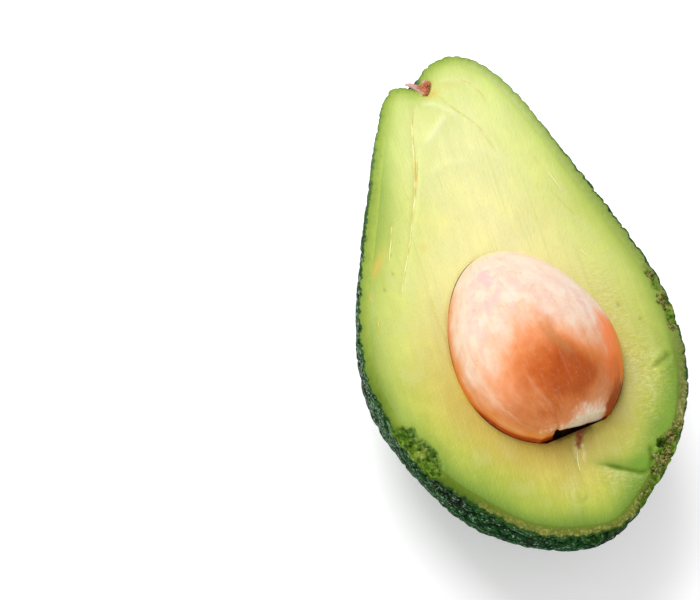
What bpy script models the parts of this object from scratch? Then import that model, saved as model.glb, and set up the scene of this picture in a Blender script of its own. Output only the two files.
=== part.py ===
"""Half an avocado, cut lengthwise, lying on its peel with the seed still in its hollow.

Metres, +Z up. The origin is the middle of the small flat spot that the peel rests on,
+Y points to the stalk end, and the cut face looks up and is level.
"""

import math

import bmesh
import bpy
import numpy as np
from mathutils import Matrix, Vector

MM = 0.001

# Driving sizes of the half fruit
LENGTH = 109.8 * MM
WIDTH = 65.2 * MM
DEPTH = 33.0 * MM  # from the cut face to the deepest point of the back, before it is flattened
CUT_ABOVE = 2.2 * MM  # how far the knife passed above the fruit's middle, so the peel bulges below the cut
TAIL_BULGE, TAIL_POWER = 1.6 * MM, 6  # how much further the blossom end reaches below the cut
PEEL = 1.7 * MM
FIT_GAP = 0.3 * MM  # between the peel, the flesh, the seed and the stub of the stalk
FLAT_CUT = 1.1 * MM  # how far the resting spot is pressed into the round back
REST_AT = (0.4 * MM, -12.0 * MM)  # the middle of the resting spot, from the middle of the cut face

# Driving sizes of the seed, whose long axis lies just below the cut face
SEED_LENGTH = 43.5 * MM
SEED_WIDTH = 33.8 * MM  # halfway along, and a little more towards the full end
SEED_EGG = 0.18  # how much fuller the seed is towards the blossom end
SEED_AT = (1.5 * MM, -13.0 * MM)
SEED_TURN = math.radians(10)  # the seed's long axis, away from the fruit's
SEED_BASE = 0.90  # share of the half length at which the full end is cut off flat
SEED_DISH = 1.2 * MM
SEED_DROP = 1.2 * MM  # the seed's axis, below the cut face

# Driving sizes of the stub that the stalk left behind, split by the knife
STUB_AT = (-2.9 * MM, 49.2 * MM)
STUB_TURN = math.radians(18)  # to the left of the fruit's long axis
STUB_RADIUS = 2.2 * MM
STUB_ROOT = 2.1 * MM
STUB_TIP = 0.8 * MM
STUB_TEETH = (0.2, 0.9, 0.1, 0.7, 0.3, 0.8, 0.4, 1.0)  # heights of the torn rim, as shares of its tip

# Outline of the cut face, as shares of half the width and half the length from its middle.
# Each pair is the left and the right end of one ring of the fruit, from the stalk's hollow down.
STALK_END = (-0.12, 0.89)
BLOSSOM_END = (0.06, -1.0)
OUTLINE_PAIRS = (
    ((-0.184, 0.898), (-0.080, 0.932)),
    ((-0.251, 0.909), (-0.012, 0.971)),
    ((-0.315, 0.893), (0.135, 1.000)),
    ((-0.368, 0.853), (0.292, 0.967)),
    ((-0.424, 0.786), (0.435, 0.866)),
    ((-0.512, 0.670), (0.535, 0.741)),
    ((-0.626, 0.497), (0.653, 0.548)),
    ((-0.751, 0.311), (0.780, 0.322)),
    ((-0.888, 0.108), (0.913, 0.093)),
    ((-0.983, -0.103), (1.000, -0.136)),
    ((-1.000, -0.292), (1.000, -0.362)),
    ((-0.918, -0.481), (0.900, -0.573)),
    ((-0.764, -0.672), (0.727, -0.746)),
    ((-0.537, -0.826), (0.487, -0.885)),
    ((-0.268, -0.952), (0.274, -0.982)),
)

# Pebbles of the peel: domed cells with a groove round each, lower and finer towards the stalk
PEBBLE_SIZE = 5.0 * MM
PEBBLE_NEAREST = 0.8  # how near two pebbles' middles may come, as a share of their size
PEBBLE_STRETCH = 1.3  # longer along the fruit than across it
PEBBLE_HEIGHT = 0.85 * MM
PEBBLE_SHOULDER = 0.62  # where a pebble's top turns down to its groove, as a share of the way there
SHOULDER_HEIGHT = 0.75
PEBBLE_SEED = 7
PEBBLE_TRIES = 14000
NECK_HEIGHT = 0.35  # share of the pebbles' height that is left at the stalk
SMOOTH_FROM, SMOOTH_TO = 0.0 * MM, 42.0 * MM
FINE_SIZE = 0.32  # share of the pebbles' size that is left at the stalk's hollow
FINE_WITHIN, FINE_FROM = 6.0 * MM, 24.0 * MM

# Facets along a quarter of each surface
LINING_FACETS = 18
SEED_FACETS = 12
STEM_CROWDING = 1.15  # over 1, rows of facets draw together at the stalk's hollow
CREASE = math.radians(50)  # edges sharper than this aren't shaded smooth
CUTTER_RISE = 3 * MM  # how far a cutter stands above the cut face


def clear_scene():
    for thing in list(bpy.data.objects):
        bpy.data.objects.remove(thing)


def material(name, colour, roughness):
    """A plain finish: colour, roughness, no metal."""
    made = bpy.data.materials.new(name)
    made.use_nodes = True
    shader = made.node_tree.nodes["Principled BSDF"]
    shader.inputs["Base Color"].default_value = (*colour, 1.0)
    shader.inputs["Roughness"].default_value = roughness
    shader.inputs["Metallic"].default_value = 0.0
    return made


def add_object(name, bm, parent, finish=None):
    """The bmesh as a named object on its parent, shaded smooth apart from its sharp edges."""
    mesh = bpy.data.meshes.new(name)
    bm.to_mesh(mesh)
    bm.free()
    mesh.shade_smooth()
    mesh.set_sharp_from_angle(angle=CREASE)
    made = bpy.data.objects.new(name, mesh)
    bpy.context.scene.collection.objects.link(made)
    made.parent = parent
    if finish:
        mesh.materials.append(finish)
    return made


def cut_away(target, cutter):
    """Cuts the hidden cutter out of the target."""
    cutter.hide_render = True
    cutter.display_type = "WIRE"
    cut = target.modifiers.new("cut_" + cutter.name, "BOOLEAN")
    cut.operation = "DIFFERENCE"
    cut.solver = "EXACT"
    cut.object = cutter


class ClosedCurve:
    """A smooth closed curve through points: a periodic cubic spline with given steps between its knots."""

    def __init__(self, points, steps):
        count = len(points)
        slopes = (np.roll(points, -1, axis=0) - points) / steps[:, None]
        matrix = np.zeros((count, count))
        for i in range(count):
            matrix[i, i - 1] = steps[i - 1]
            matrix[i, i] = 2 * (steps[i - 1] + steps[i])
            matrix[i, (i + 1) % count] = steps[i]
        self.bends = np.linalg.solve(matrix, 6 * (slopes - np.roll(slopes, 1, axis=0)))
        self.points, self.steps = points, steps
        self.knots = np.concatenate([[0.0], np.cumsum(steps)])

    def at(self, distance):
        distance = distance % self.knots[-1]
        i = min(int(np.searchsorted(self.knots, distance, side="right")) - 1, len(self.points) - 1)
        j = (i + 1) % len(self.points)
        b = (distance - self.knots[i]) / self.steps[i]
        a = 1 - b
        bend = (a**3 - a) * self.bends[i] + (b**3 - b) * self.bends[j]
        return a * self.points[i] + b * self.points[j] + bend * self.steps[i] ** 2 / 6


def outline_curve():
    """The cut face's outline, and its length from the stalk's hollow to the blossom end."""
    half = np.array([WIDTH / 2, LENGTH / 2])
    left = np.array([STALK_END, *(pair[0] for pair in OUTLINE_PAIRS), BLOSSOM_END]) * half
    right = np.array([STALK_END, *(pair[1] for pair in OUTLINE_PAIRS), BLOSSOM_END]) * half
    steps = sum(np.linalg.norm(np.diff(side, axis=0), axis=1) for side in (left, right)) / 2
    points = np.concatenate([left, right[-2:0:-1]])
    return ClosedCurve(points, np.concatenate([steps, steps[::-1]])), float(steps.sum())


def ball_facets(facets):
    """A ball of unit radius with evenly sized facets, as a bmesh: a subdivided cube blown up round."""
    bm = bmesh.new()
    bmesh.ops.create_cube(bm, size=2.0)
    bmesh.ops.subdivide_edges(bm, edges=bm.edges[:], cuts=facets - 1, use_grid_fill=True)
    for vert in bm.verts:
        spread = [math.tan(math.pi / 4 * c) for c in vert.co]
        vert.co = Vector(spread).normalized()
    return bm


def pear_point(direction, curve, span):
    """Where the ball's surface point lies on the fruit: on a ring through two points of the outline.

    A ring is an ellipse whose middle is a little below the cut, and the lower half of the ball goes to
    the part of it below the cut.
    """
    along = math.acos(max(-1.0, min(1.0, direction.y))) / math.pi
    distance = span * along**STEM_CROWDING
    left, right = curve.at(distance), curve.at(2 * span - distance)
    middle, reach = (left + right) / 2, (right - left) / 2
    belly = DEPTH - CUT_ABOVE
    lift = math.asin(CUT_ABOVE / belly)
    turn = math.atan2(-direction.z, direction.x)
    stretch = 1 + 2 * lift / math.pi if turn >= 0 else 1 - 2 * lift / math.pi
    angle = turn * stretch - lift
    flat = middle + reach * math.cos(angle) / math.cos(lift)
    share = float(np.linalg.norm(reach)) / (WIDTH / 2)
    sunk = CUT_ABOVE + belly * math.sin(angle)
    tail = TAIL_BULGE * (distance / span) ** TAIL_POWER * sunk / DEPTH
    return Vector((flat[0], flat[1] - tail, -share * sunk))


def smooth_step(value, start, end):
    share = max(0.0, min(1.0, (value - start) / (end - start)))
    return share * share * (3 - 2 * share)


def pebble_centres(curve, span):
    """Directions on the unit ball, drawn so that their places on the fruit lie about a pebble apart."""
    draw = np.random.default_rng(PEBBLE_SEED)
    tries = draw.normal(size=(PEBBLE_TRIES, 3))
    tries /= np.linalg.norm(tries, axis=1)[:, None]
    hollow = Vector((STALK_END[0] * WIDTH / 2, STALK_END[1] * LENGTH / 2, 0.0))
    squeeze = np.array([1.0, 1 / PEBBLE_STRETCH, 1.0])
    kept, places = [], np.empty((0, 3))
    for direction in tries:
        spot = pear_point(Vector(direction), curve, span)
        fine = 1 - smooth_step((spot - hollow).length, FINE_WITHIN, FINE_FROM)
        apart = PEBBLE_NEAREST * PEBBLE_SIZE * (1 - (1 - FINE_SIZE) * fine)
        place = np.array(spot) * squeeze
        if not len(places) or np.linalg.norm(places - place, axis=1).min() > apart:
            kept.append(Vector(direction))
            places = np.vstack([places, place])
    return kept


def pebbled_skin():
    """The whole fruit's pebbled surface: a dome for each centre, with grooves between neighbours."""
    curve, span = outline_curve()
    net = bmesh.new()
    for centre in pebble_centres(curve, span):
        net.verts.new(centre)
    bmesh.ops.convex_hull(net, input=net.verts[:])

    bm = bmesh.new()
    heights = {}

    def add(direction, height):
        vert = bm.verts.new(direction.normalized())
        heights[vert] = height
        return vert

    tops = {v: add(v.co, 1.0) for v in net.verts}
    grooves = {face: add(face.calc_center_median(), 0.0) for face in net.faces}
    shoulders = {}
    for face in net.faces:
        for v in face.verts:
            shoulders[v, face] = add(v.co.lerp(grooves[face].co, PEBBLE_SHOULDER), SHOULDER_HEIGHT)
    for edge in net.edges:
        one, other = edge.link_faces
        for v in edge.verts:
            bm.faces.new((tops[v], shoulders[v, one], shoulders[v, other]))
            bm.faces.new((shoulders[v, one], grooves[one], grooves[other], shoulders[v, other]))
    net.free()

    for vert in bm.verts:
        vert.co = pear_point(vert.co, curve, span)
    bmesh.ops.recalc_face_normals(bm, faces=bm.faces[:])
    bm.normal_update()
    for vert, normal in [(v, v.normal.copy()) for v in bm.verts]:
        fade = 1 - (1 - NECK_HEIGHT) * smooth_step(vert.co.y, SMOOTH_FROM, SMOOTH_TO)
        vert.co += normal * PEBBLE_HEIGHT * fade * heights[vert]
    return bm


def half_pear(facets, inset=0.0, rise=0.0):
    """The solid below the cut face, drawn in by inset. Its top is at the cut face, or rise above it."""
    curve, span = outline_curve()
    bm = ball_facets(facets)
    above = [v for v in bm.verts if v.co.z > 1e-6]
    bmesh.ops.delete(bm, geom=above, context="VERTS")
    for vert in bm.verts:
        vert.co = pear_point(vert.co, curve, span)
    bmesh.ops.recalc_face_normals(bm, faces=bm.faces[:])
    bm.normal_update()
    lowest = min(bm.verts, key=lambda v: v.co.z)
    if lowest.normal.z > 0:
        bmesh.ops.reverse_faces(bm, faces=bm.faces[:])
    bm.normal_update()
    for vert, normal in [(v, v.normal.copy()) for v in bm.verts]:
        if vert.is_boundary:
            normal.z = 0.0
        vert.co -= normal.normalized() * inset
    if rise:
        rim = [e for e in bm.edges if e.is_boundary]
        raised = bmesh.ops.extrude_edge_only(bm, edges=rim)["geom"]
        for vert in [g for g in raised if isinstance(g, bmesh.types.BMVert)]:
            vert.co.z += rise
    bmesh.ops.contextual_create(bm, geom=[e for e in bm.edges if e.is_boundary])
    bmesh.ops.recalc_face_normals(bm, faces=bm.faces[:])
    return bm


def egg_point(direction, grow, based):
    """A point of the seed, its long axis on Y. With based, the full end at -Y is cut off and dished."""
    half_length = SEED_LENGTH / 2
    radius = SEED_WIDTH / 2 * (1 - SEED_EGG * direction.y)
    point = Vector((direction.x * radius, direction.y * half_length, direction.z * radius))
    if based and direction.y < -SEED_BASE:
        rim = math.sqrt(1 - SEED_BASE**2)
        out = math.hypot(direction.x, direction.z) / rim
        point.y = -half_length * SEED_BASE + SEED_DISH * (1 - out * out)
    return point + direction * grow


def egg(facets, grow=0.0, based=True):
    bm = ball_facets(facets)
    for vert in bm.verts:
        vert.co = egg_point(vert.co, grow, based)
    return bm


def stub(grow=0.0, torn=True):
    """Half a short stalk lying along Y below the cut face, with a torn end at +Y."""
    bm = bmesh.new()
    rings = (
        (-STUB_ROOT, 0.22, 0.0),
        (-STUB_ROOT * 0.5, 0.66, 0.0),
        (0.0, 1.0, 0.0),
        (STUB_TIP * 0.5, 1.05, 0.3),
        (STUB_TIP, 0.9, 1.0),
    )
    half_turn = len(STUB_TEETH) - 1
    loops = []
    for y, share, raggedness in rings:
        radius = STUB_RADIUS * share + grow
        end = grow * (1 if y > 0 else -1) if y in (-STUB_ROOT, STUB_TIP) else 0.0
        loop = []
        for i, tooth in enumerate(STUB_TEETH):
            angle = math.pi * i / half_turn
            ragged = raggedness * tooth * STUB_TIP if torn else raggedness * STUB_TIP
            height = CUTTER_RISE if grow and i in (0, half_turn) else 0.0
            place = (radius * math.cos(angle), y + end + ragged, height - radius * math.sin(angle))
            loop.append(bm.verts.new(place))
        loops.append(loop)
    for lower, upper in zip(loops, loops[1:]):
        for i in range(half_turn):
            bm.faces.new((lower[i], lower[i + 1], upper[i + 1], upper[i]))
    bm.faces.new(loops[0])
    bm.faces.new(loops[-1])
    bm.faces.new([loop[0] for loop in loops] + [loop[-1] for loop in reversed(loops)])
    bmesh.ops.triangulate(bm, faces=bm.faces[:])
    bmesh.ops.recalc_face_normals(bm, faces=bm.faces[:])
    return bm


def cut_level(bm, height, upwards):
    """Cuts off all that lies above the height, or below it, and closes what the cut opened."""
    bmesh.ops.bisect_plane(
        bm,
        geom=bm.verts[:] + bm.edges[:] + bm.faces[:],
        plane_co=(0, 0, height),
        plane_no=(0, 0, 1 if upwards else -1),
        clear_outer=True,
    )
    bmesh.ops.holes_fill(bm, edges=[e for e in bm.edges if e.is_boundary], sides=0)
    bmesh.ops.recalc_face_normals(bm, faces=bm.faces[:])


def main():
    clear_scene()
    peel_finish = material("peel", (0.035, 0.085, 0.030), 0.38)
    flesh_finish = material("flesh", (0.640, 0.700, 0.230), 0.42)
    seed_finish = material("seed", (0.780, 0.400, 0.210), 0.40)
    stub_finish = material("stalk_stub", (0.330, 0.120, 0.060), 0.75)

    cut_face = bpy.data.objects.new("cut_face", None)
    cut_face.location = (-REST_AT[0], -REST_AT[1], DEPTH - FLAT_CUT)
    bpy.context.scene.collection.objects.link(cut_face)

    stub_place = Matrix.Translation((*STUB_AT, 0.0)) @ Matrix.Rotation(STUB_TURN, 4, "Z")
    stalk_stub = add_object("stalk_stub", stub(), cut_face, stub_finish)
    socket = add_object("stub_cutter", stub(grow=FIT_GAP, torn=False), cut_face)
    stalk_stub.matrix_local = socket.matrix_local = stub_place

    outside = pebbled_skin()
    cut_level(outside, 0.0, upwards=True)
    cut_level(outside, FLAT_CUT - DEPTH, upwards=False)
    peel = add_object("peel", outside, cut_face, peel_finish)
    lining = half_pear(LINING_FACETS, inset=PEEL, rise=CUTTER_RISE)
    cut_away(peel, socket)
    cut_away(peel, add_object("lining_cutter", lining, cut_face))

    seed_place = Matrix.Translation((*SEED_AT, -SEED_DROP)) @ Matrix.Rotation(SEED_TURN, 4, "Z")
    seed = add_object("seed", egg(SEED_FACETS), cut_face, seed_finish)
    hollow = add_object("hollow_cutter", egg(SEED_FACETS, grow=FIT_GAP, based=False), cut_face)
    seed.matrix_local = hollow.matrix_local = seed_place
    flesh = add_object("flesh", half_pear(LINING_FACETS, inset=PEEL + FIT_GAP), cut_face, flesh_finish)
    cut_away(flesh, socket)
    cut_away(flesh, hollow)


main()
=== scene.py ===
"""Half an avocado, cut lengthwise, lying on its peel with the seed still in its hollow.

Run as a script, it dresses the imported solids: a pebbled peel, the flesh, the seed and the stub of the
stalk, each with the form of the solid that it stands for. The shape rules are the solids' own.
"""

import math

import bpy
import numpy as np
from bpy.props import FloatProperty, FloatVectorProperty, IntProperty, PointerProperty
from mathutils import Matrix, Vector, geometry, kdtree, noise


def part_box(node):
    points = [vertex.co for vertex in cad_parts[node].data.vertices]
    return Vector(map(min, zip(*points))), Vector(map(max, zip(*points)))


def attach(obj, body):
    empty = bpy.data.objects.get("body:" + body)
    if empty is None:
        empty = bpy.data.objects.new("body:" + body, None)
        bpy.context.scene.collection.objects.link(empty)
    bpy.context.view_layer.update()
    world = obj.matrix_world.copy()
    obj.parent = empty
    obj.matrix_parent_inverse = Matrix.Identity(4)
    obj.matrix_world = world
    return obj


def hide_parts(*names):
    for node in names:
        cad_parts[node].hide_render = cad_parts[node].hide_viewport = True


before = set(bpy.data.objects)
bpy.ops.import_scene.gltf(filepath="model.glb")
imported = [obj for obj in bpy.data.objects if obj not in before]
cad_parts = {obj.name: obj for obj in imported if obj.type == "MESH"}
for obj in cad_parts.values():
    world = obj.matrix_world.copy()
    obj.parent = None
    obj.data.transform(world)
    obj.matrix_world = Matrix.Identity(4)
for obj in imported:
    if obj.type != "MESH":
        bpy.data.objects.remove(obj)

bl_info = {
    "name": "Avocado Half",
    "version": (1, 0, 0),
    "blender": (4, 5, 0),
    "location": "3D View > Sidebar > Avocado",
    "description": "Half an avocado with its seed in its hollow, on a pale floor",
    "category": "Add Mesh",
}

MM = 0.001
FACE_MIDDLE = np.array([-0.4 * MM, 12.0 * MM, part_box("flesh")[1].z])
UP = np.array([0.0, 0.0, 1.0])

PEEL_FACETS = 156  # facets along each edge of the cube that is blown up round
SPECK_FACETS = 96
SEED_FACETS = 94
BORDER_POINTS = 620  # points round the flesh, and round its hollow
HOLLOW_POINTS = 420
HOLLOW_GAP = 0.12 * MM  # between the seed and the flesh as shown
LINING_GAP = 0.15 * MM  # between the flesh and the peel as shown
RIPE_DEPTH = 24.0  # millimetres from the rim, over which the flesh changes its colour
PEEL_AREA = 0.0125  # square metres, about

# Outline of the cut face, as shares of half the width and half the length from its middle.
# Each pair is the left and the right end of one ring of the fruit, from the stalk's hollow down.
STALK_END = (-0.12, 0.89)
BLOSSOM_END = (0.06, -1.0)
OUTLINE_PAIRS = (
    ((-0.184, 0.898), (-0.080, 0.932)),
    ((-0.251, 0.909), (-0.012, 0.971)),
    ((-0.315, 0.893), (0.135, 1.000)),
    ((-0.368, 0.853), (0.292, 0.967)),
    ((-0.424, 0.786), (0.435, 0.866)),
    ((-0.512, 0.670), (0.535, 0.741)),
    ((-0.626, 0.497), (0.653, 0.548)),
    ((-0.751, 0.311), (0.780, 0.322)),
    ((-0.888, 0.108), (0.913, 0.093)),
    ((-0.983, -0.103), (1.000, -0.136)),
    ((-1.000, -0.292), (1.000, -0.362)),
    ((-0.918, -0.481), (0.900, -0.573)),
    ((-0.764, -0.672), (0.727, -0.746)),
    ((-0.537, -0.826), (0.487, -0.885)),
    ((-0.268, -0.952), (0.274, -0.982)),
)
STEM_CROWDING = 1.15  # over 1, rows of facets draw together at the stalk's hollow
TAIL_POWER = 6  # how suddenly the blossom end's bulge below the cut begins

STRANDS = (
    # Each strand: its points on the cut face in millimetres, and its width
    (((-5.9, 45.0), (-7.8, 40.3), (-8.5, 37.1), (-9.4, 33.4), (-9.9, 30.8), (-11.6, 25.2), (-13.4, 20.6)),
     0.26),
    (((-13.4, 20.6), (-15.6, 15.2), (-17.8, 10.6), (-20.1, 5.9), (-21.0, 3.4)), 0.18),
    (((-8.1, 35.6), (-9.2, 31.8), (-10.6, 27.4), (-12.6, 22.4), (-14.4, 18.4)), 0.20),
    (((-18.4, 19.5), (-19.9, 15.1), (-21.4, 11.5)), 0.20),
    (((-15.3, 4.2), (-15.5, -2.1), (-15.1, -6.6)), 0.16),
    (((-27.3, -0.5), (-27.7, -3.0)), 0.22),
    (((-0.9, 47.6), (0.7, 45.6), (2.5, 42.7), (5.0, 39.7), (6.9, 36.6), (7.7, 33.5), (8.2, 31.2)), 0.14),
    (((4.0, 49.5), (5.8, 49.3), (7.5, 48.0), (9.0, 45.5), (9.9, 43.3)), 0.16),
    (((6.6, 37.0), (7.4, 34.6), (8.2, 32.2)), 0.18),
    (((16.0, 27.8), (17.4, 24.4), (19.4, 18.9)), 0.16),
    (((17.0, 19.9), (18.2, 16.7), (20.0, 13.2)), 0.16),
    (((18.6, 5.7), (20.0, 3.0)), 0.18),
    (((4.3, -36.4), (3.8, -37.8), (3.3, -40.2), (3.1, -42.0)), 0.14),
    (((5.3, -36.8), (5.1, -38.4), (4.4, -40.2)), 0.10),
)
CRUMB_HEAPS = (
    # Each heap of corky crumbs on the broken rim: its place and spread on the cut face in millimetres,
    # its share of the crumbs, and how tan it is
    (24.0, -38.6, 0.85, 5, 1.0), (22.2, -41.6, 0.80, 6, 0.5), (20.6, -43.4, 0.85, 6, 0.7),
    (18.8, -45.0, 0.55, 3, 0.2), (15.6, -49.2, 0.60, 3, 0.1), (13.4, -51.4, 0.45, 1, 0.1),
    (31.3, -3.6, 0.55, 3, 1.1), (31.9, -9.6, 0.65, 3, 0.7), (32.0, -15.4, 0.50, 2, 0.7),
    (25.8, -36.6, 0.40, 1, 0.6),
)
RIDGES = (
    # Each pale ridge that the knife left below the stalk: its points, its width and how pale it is
    (((-4.4, 45.3), (-1.5, 44.8), (0.4, 43.4), (1.9, 42.0), (3.6, 40.0)), 0.6, 0.42),
    (((0.7, 42.4), (-1.6, 40.0), (-4.5, 37.2), (-6.6, 35.5)), 0.8, 0.42),
    (((1.0, 49.8), (4.6, 49.5), (6.8, 48.7), (8.2, 47.1), (9.2, 45.0)), 0.45, 0.22),
    (((2.0, 33.5), (6.5, 31.6), (12.0, 27.0)), 0.9, 0.14),
    (((-8.0, 29.0), (-2.0, 30.5), (5.0, 30.0)), 1.1, 0.10),
)
BROKEN_RIMS = (
    # Each torn or broken stretch of the rim: its points, and its widths at shares of its length
    (((-31.0, -24.2), (-29.2, -27.2), (-28.0, -30.0), (-26.8, -32.4), (-25.6, -34.4), (-24.4, -36.2)),
     (0.0, 0.2, 0.45, 0.7, 0.88, 1.0), (0.6, 2.9, 3.4, 3.2, 2.4, 0.6)),
    (((26.0, -36.6), (23.6, -39.6), (21.6, -42.6), (19.4, -45.2), (17.2, -47.6), (15.2, -49.8),
      (13.0, -51.8)),
     (0.0, 0.2, 0.4, 0.55, 0.7, 0.85, 1.0), (0.5, 2.0, 2.7, 2.4, 1.1, 1.7, 0.6)),
    (((30.9, -1.5), (31.6, -4.6), (32.2, -8.0), (32.5, -11.4), (32.7, -15.0), (32.6, -18.2)),
     (0.0, 0.18, 0.36, 0.6, 0.82, 1.0), (0.3, 1.3, 0.5, 1.5, 1.0, 0.3)),
)
FLESH_SPOTS = {
    # Soft oval spots of the cut face: weight, middle and half axes in millimetres, and turn in degrees
    # Ochre: painted shade, warm brown, on the flesh beside the seed's lower left and below its flat end
    "ochre_shade": (
        (0.50, -15.0, -24.0, 3.5, 6.5, 30), (0.36, -6.0, -35.0, 8.0, 3.4, -26),
        (0.30, 2.0, -36.0, 6.0, 3.0, 0),
    ),
    "fuzz": (
        (0.90, 23.0, -24.0, 5.5, 8.0, 20), (0.30, 12.0, -47.5, 8.0, 3.5, -20),
        (0.70, 17.5, -38.6, 4.0, 3.4, 0), (0.60, 20.5, -6.0, 4.5, 9.0, 10),
        (0.70, 11.5, -44.0, 5.0, 2.2, -20), (0.50, 22.0, -34.0, 3.0, 4.0, 0),
    ),
    # The first two pale spots are painted light, lifting the seed's shadow from the flesh to the right of and
    # below it
    "pale": (
        (0.14, 18.4, -28.0, 2.4, 5.0, -25), (0.07, 8.0, -38.0, 8.0, 4.0, 20),
        (0.16, -28.2, 9.0, 2.4, 10.0, -6),
    ),
    "shade": (
        (0.28, 21.0, -37.5, 2.2, 3.6, -25), (0.50, -6.9, 49.3, 1.0, 0.35, -5),
        (0.30, 2.0, -47.4, 1.2, 0.4, 15), (0.45, 22.4, -8.3, 0.42, 0.588, -10),
        (0.45, 25.9, -12.4, 0.3, 0.42, -10), (0.45, -21.4, 8.7, 0.28, 0.392, -10),
        (0.45, -24.1, 5.6, 0.33, 0.462, -10), (0.45, -20.6, 12.9, 0.26, 0.364, -10),
    ),
    "green": (
        (0.72, 23.2, -36.0, 3.2, 6.5, -28), (0.50, 17.0, -42.0, 3.5, 4.5, -10),
        (0.35, 27.5, -27.0, 2.0, 6.0, -15), (0.45, 11.0, -42.0, 6.0, 1.2, -20),
        (0.15, -24.5, -29.0, 2.0, 5.0, 30), (0.70, -20.0, 29.0, 3.8, 12.0, -14),
        (0.30, 31.0, 2.0, 3.0, 15.0, 10), (0.25, -15.0, -41.0, 9.0, 5.0, -40),
        (0.14, 18.5, -43.5, 2.8, 7.0, -38), (0.24, 11.0, -49.5, 7.0, 3.0, 20),
        (0.60, 16.4, -43.0, 3.2, 1.7, -18),
    ),
    "stain": (
        (0.62, -24.0, 11.2, 0.8, 3.2, -36), (0.60, -27.4, 4.6, 0.4, 0.7, 0),
        (0.45, -2.1, 46.7, 0.9, 0.45, 0), (0.20, 3.0, 48.4, 2.6, 0.7, -10),
        (0.45, -6.9, 48.3, 0.9, 0.35, 0), (0.25, -1.6, 49.0, 1.6, 1.4, 0),
        (0.30, 4.6, -39.2, 0.45, 1.4, 0), (0.28, -13.4, 13.0, 0.8, 0.8, 0),
        (0.50, -1.0, 47.4, 1.4, 0.9, 0),
    ),
}
SEED_WARMTH = (
    # The brown patch and its warm surroundings: weight, place across and along, and size
    (0.36, -0.11, -0.74, 0.49), (0.54, 0.06, -0.60, 0.24), (0.29, -0.34, -0.26, 0.61),
    (0.14, -0.05, -0.10, 0.12), (0.22, 0.05, -0.34, 0.15), (0.50, 0.60, -0.68, 0.50),
    (0.66, -0.57, -0.80, 0.65), (0.28, -0.25, -0.37, 0.35), (0.12, -0.14, 0.04, 0.22),
    (0.20, 0.30, -0.62, 0.20),
)
SEED_MAUVE = (
    # Mauve patches of the coat, in the same way
    (0.95, -0.36, 0.62, 0.26), (0.55, -0.12, 0.25, 0.30), (0.60, 0.36, -0.70, 0.16),
    (0.50, -0.16, 0.00, 0.16), (0.75, -0.62, 0.30, 0.20), (0.45, 0.42, 0.16, 0.24),
    (0.50, -0.10, 0.72, 0.14),
)


def size_of(name, default, description):
    return FloatProperty(name=name, description=description, default=default, unit="LENGTH", precision=5)


def share_of(name, default, description):
    return FloatProperty(name=name, description=description, default=default, min=0.0, subtype="FACTOR")


def angle_of(name, degrees, description):
    return FloatProperty(name=name, description=description, default=math.radians(degrees), unit="ROTATION")


def number_of(name, default, description):
    return FloatProperty(name=name, description=description, default=default, min=0.0, subtype="UNSIGNED")


def count_of(name, default, description):
    return IntProperty(name=name, description=description, default=default, min=0)


def colour_of(name, default, description):
    return FloatVectorProperty(
        name=name, description=description, default=default, size=3, min=0.0, max=1.0, subtype="COLOR"
    )


class AvocadoFruit(bpy.types.PropertyGroup):
    """Sizes of the half fruit."""

    length: size_of("Length", 109.8 * MM, "Length of the cut face, without the pebbles")
    width: size_of("Width", 65.2 * MM, "Width of the cut face, without the pebbles")
    depth: size_of("Depth", 33.0 * MM, "From the cut face to the deepest point of the back")
    cut_above: size_of("Cut Above Middle", 2.2 * MM, "How far the knife passed above the fruit's middle")
    tail_bulge: size_of("Tail Bulge", 1.6 * MM, "How much further the blossom end reaches below the cut")
    rest_height: size_of("Rest Height", FACE_MIDDLE[2], "From the flat resting spot up to the cut face")


class AvocadoPeel(bpy.types.PropertyGroup):
    """Sizes and colours of the peel."""

    thickness: size_of("Thickness", 1.75 * MM, "Thickness of the peel at the cut")
    lump_size: size_of("Lump Size", 5.0 * MM, "About how far apart the broad lumps lie")
    pebble_size: size_of("Pebble Size", 2.9 * MM, "About how far apart the pebbles lie")
    height: size_of("Relief", 0.85 * MM, "Height of the lumps and pebbles together")
    stretch: share_of("Stretch", 1.3, "How much longer than wide the pebbles are")
    # The grooves are darker than the pebbles partly as painted shade
    dark: colour_of("Groove Colour", (0.001, 0.006, 0.002), "Colour between the pebbles")
    green: colour_of("Pebble Colour", (0.009, 0.046, 0.009), "Colour of the pebbles")
    cut: colour_of("Cut Edge Colour", (0.150, 0.160, 0.032), "Colour of the dry parts of the peel's cut edge")
    speck: colour_of("Speck Colour", (0.36, 0.27, 0.16), "Colour of the corky specks")
    specks: count_of("Specks", 900, "About how many corky specks the peel has")
    speck_size: size_of("Speck Size", 0.42 * MM, "Width of a corky speck")
    crumb: colour_of("Crumb Colour", (0.300, 0.225, 0.080), "Colour of the driest corky crumbs on the rim")
    crumbs: count_of("Crumbs", 260, "How many crumbs lie on the broken rim")
    crumb_size: size_of("Crumb Size", 0.92 * MM, "Width of a crumb")
    seed: count_of("Random Seed", 11, "Changes how the pebbles lie")


class AvocadoFlesh(bpy.types.PropertyGroup):
    """Sizes and colours of the flesh."""

    grid: size_of("Grid", 0.36 * MM, "Distance between the points of the cut face")
    rim: colour_of("Rim Colour", (0.060, 0.105, 0.011), "Colour at the outer edge of the full end")
    middle: colour_of("Middle Colour", (0.515, 0.575, 0.138), "Colour a few millimetres inside the edge")
    pale: colour_of("Neck Colour", (0.682, 0.698, 0.325), "Colour of the middle of the neck")
    ripe: colour_of("Ripe Colour", (0.460, 0.340, 0.056), "Colour round the full end of the seed")
    fibre: colour_of("Fibre Colour", (0.840, 0.780, 0.360), "Colour of the strands in the flesh")
    strand_width: share_of("Strand Width", 1.5, "Makes all strands wider or narrower")


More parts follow.
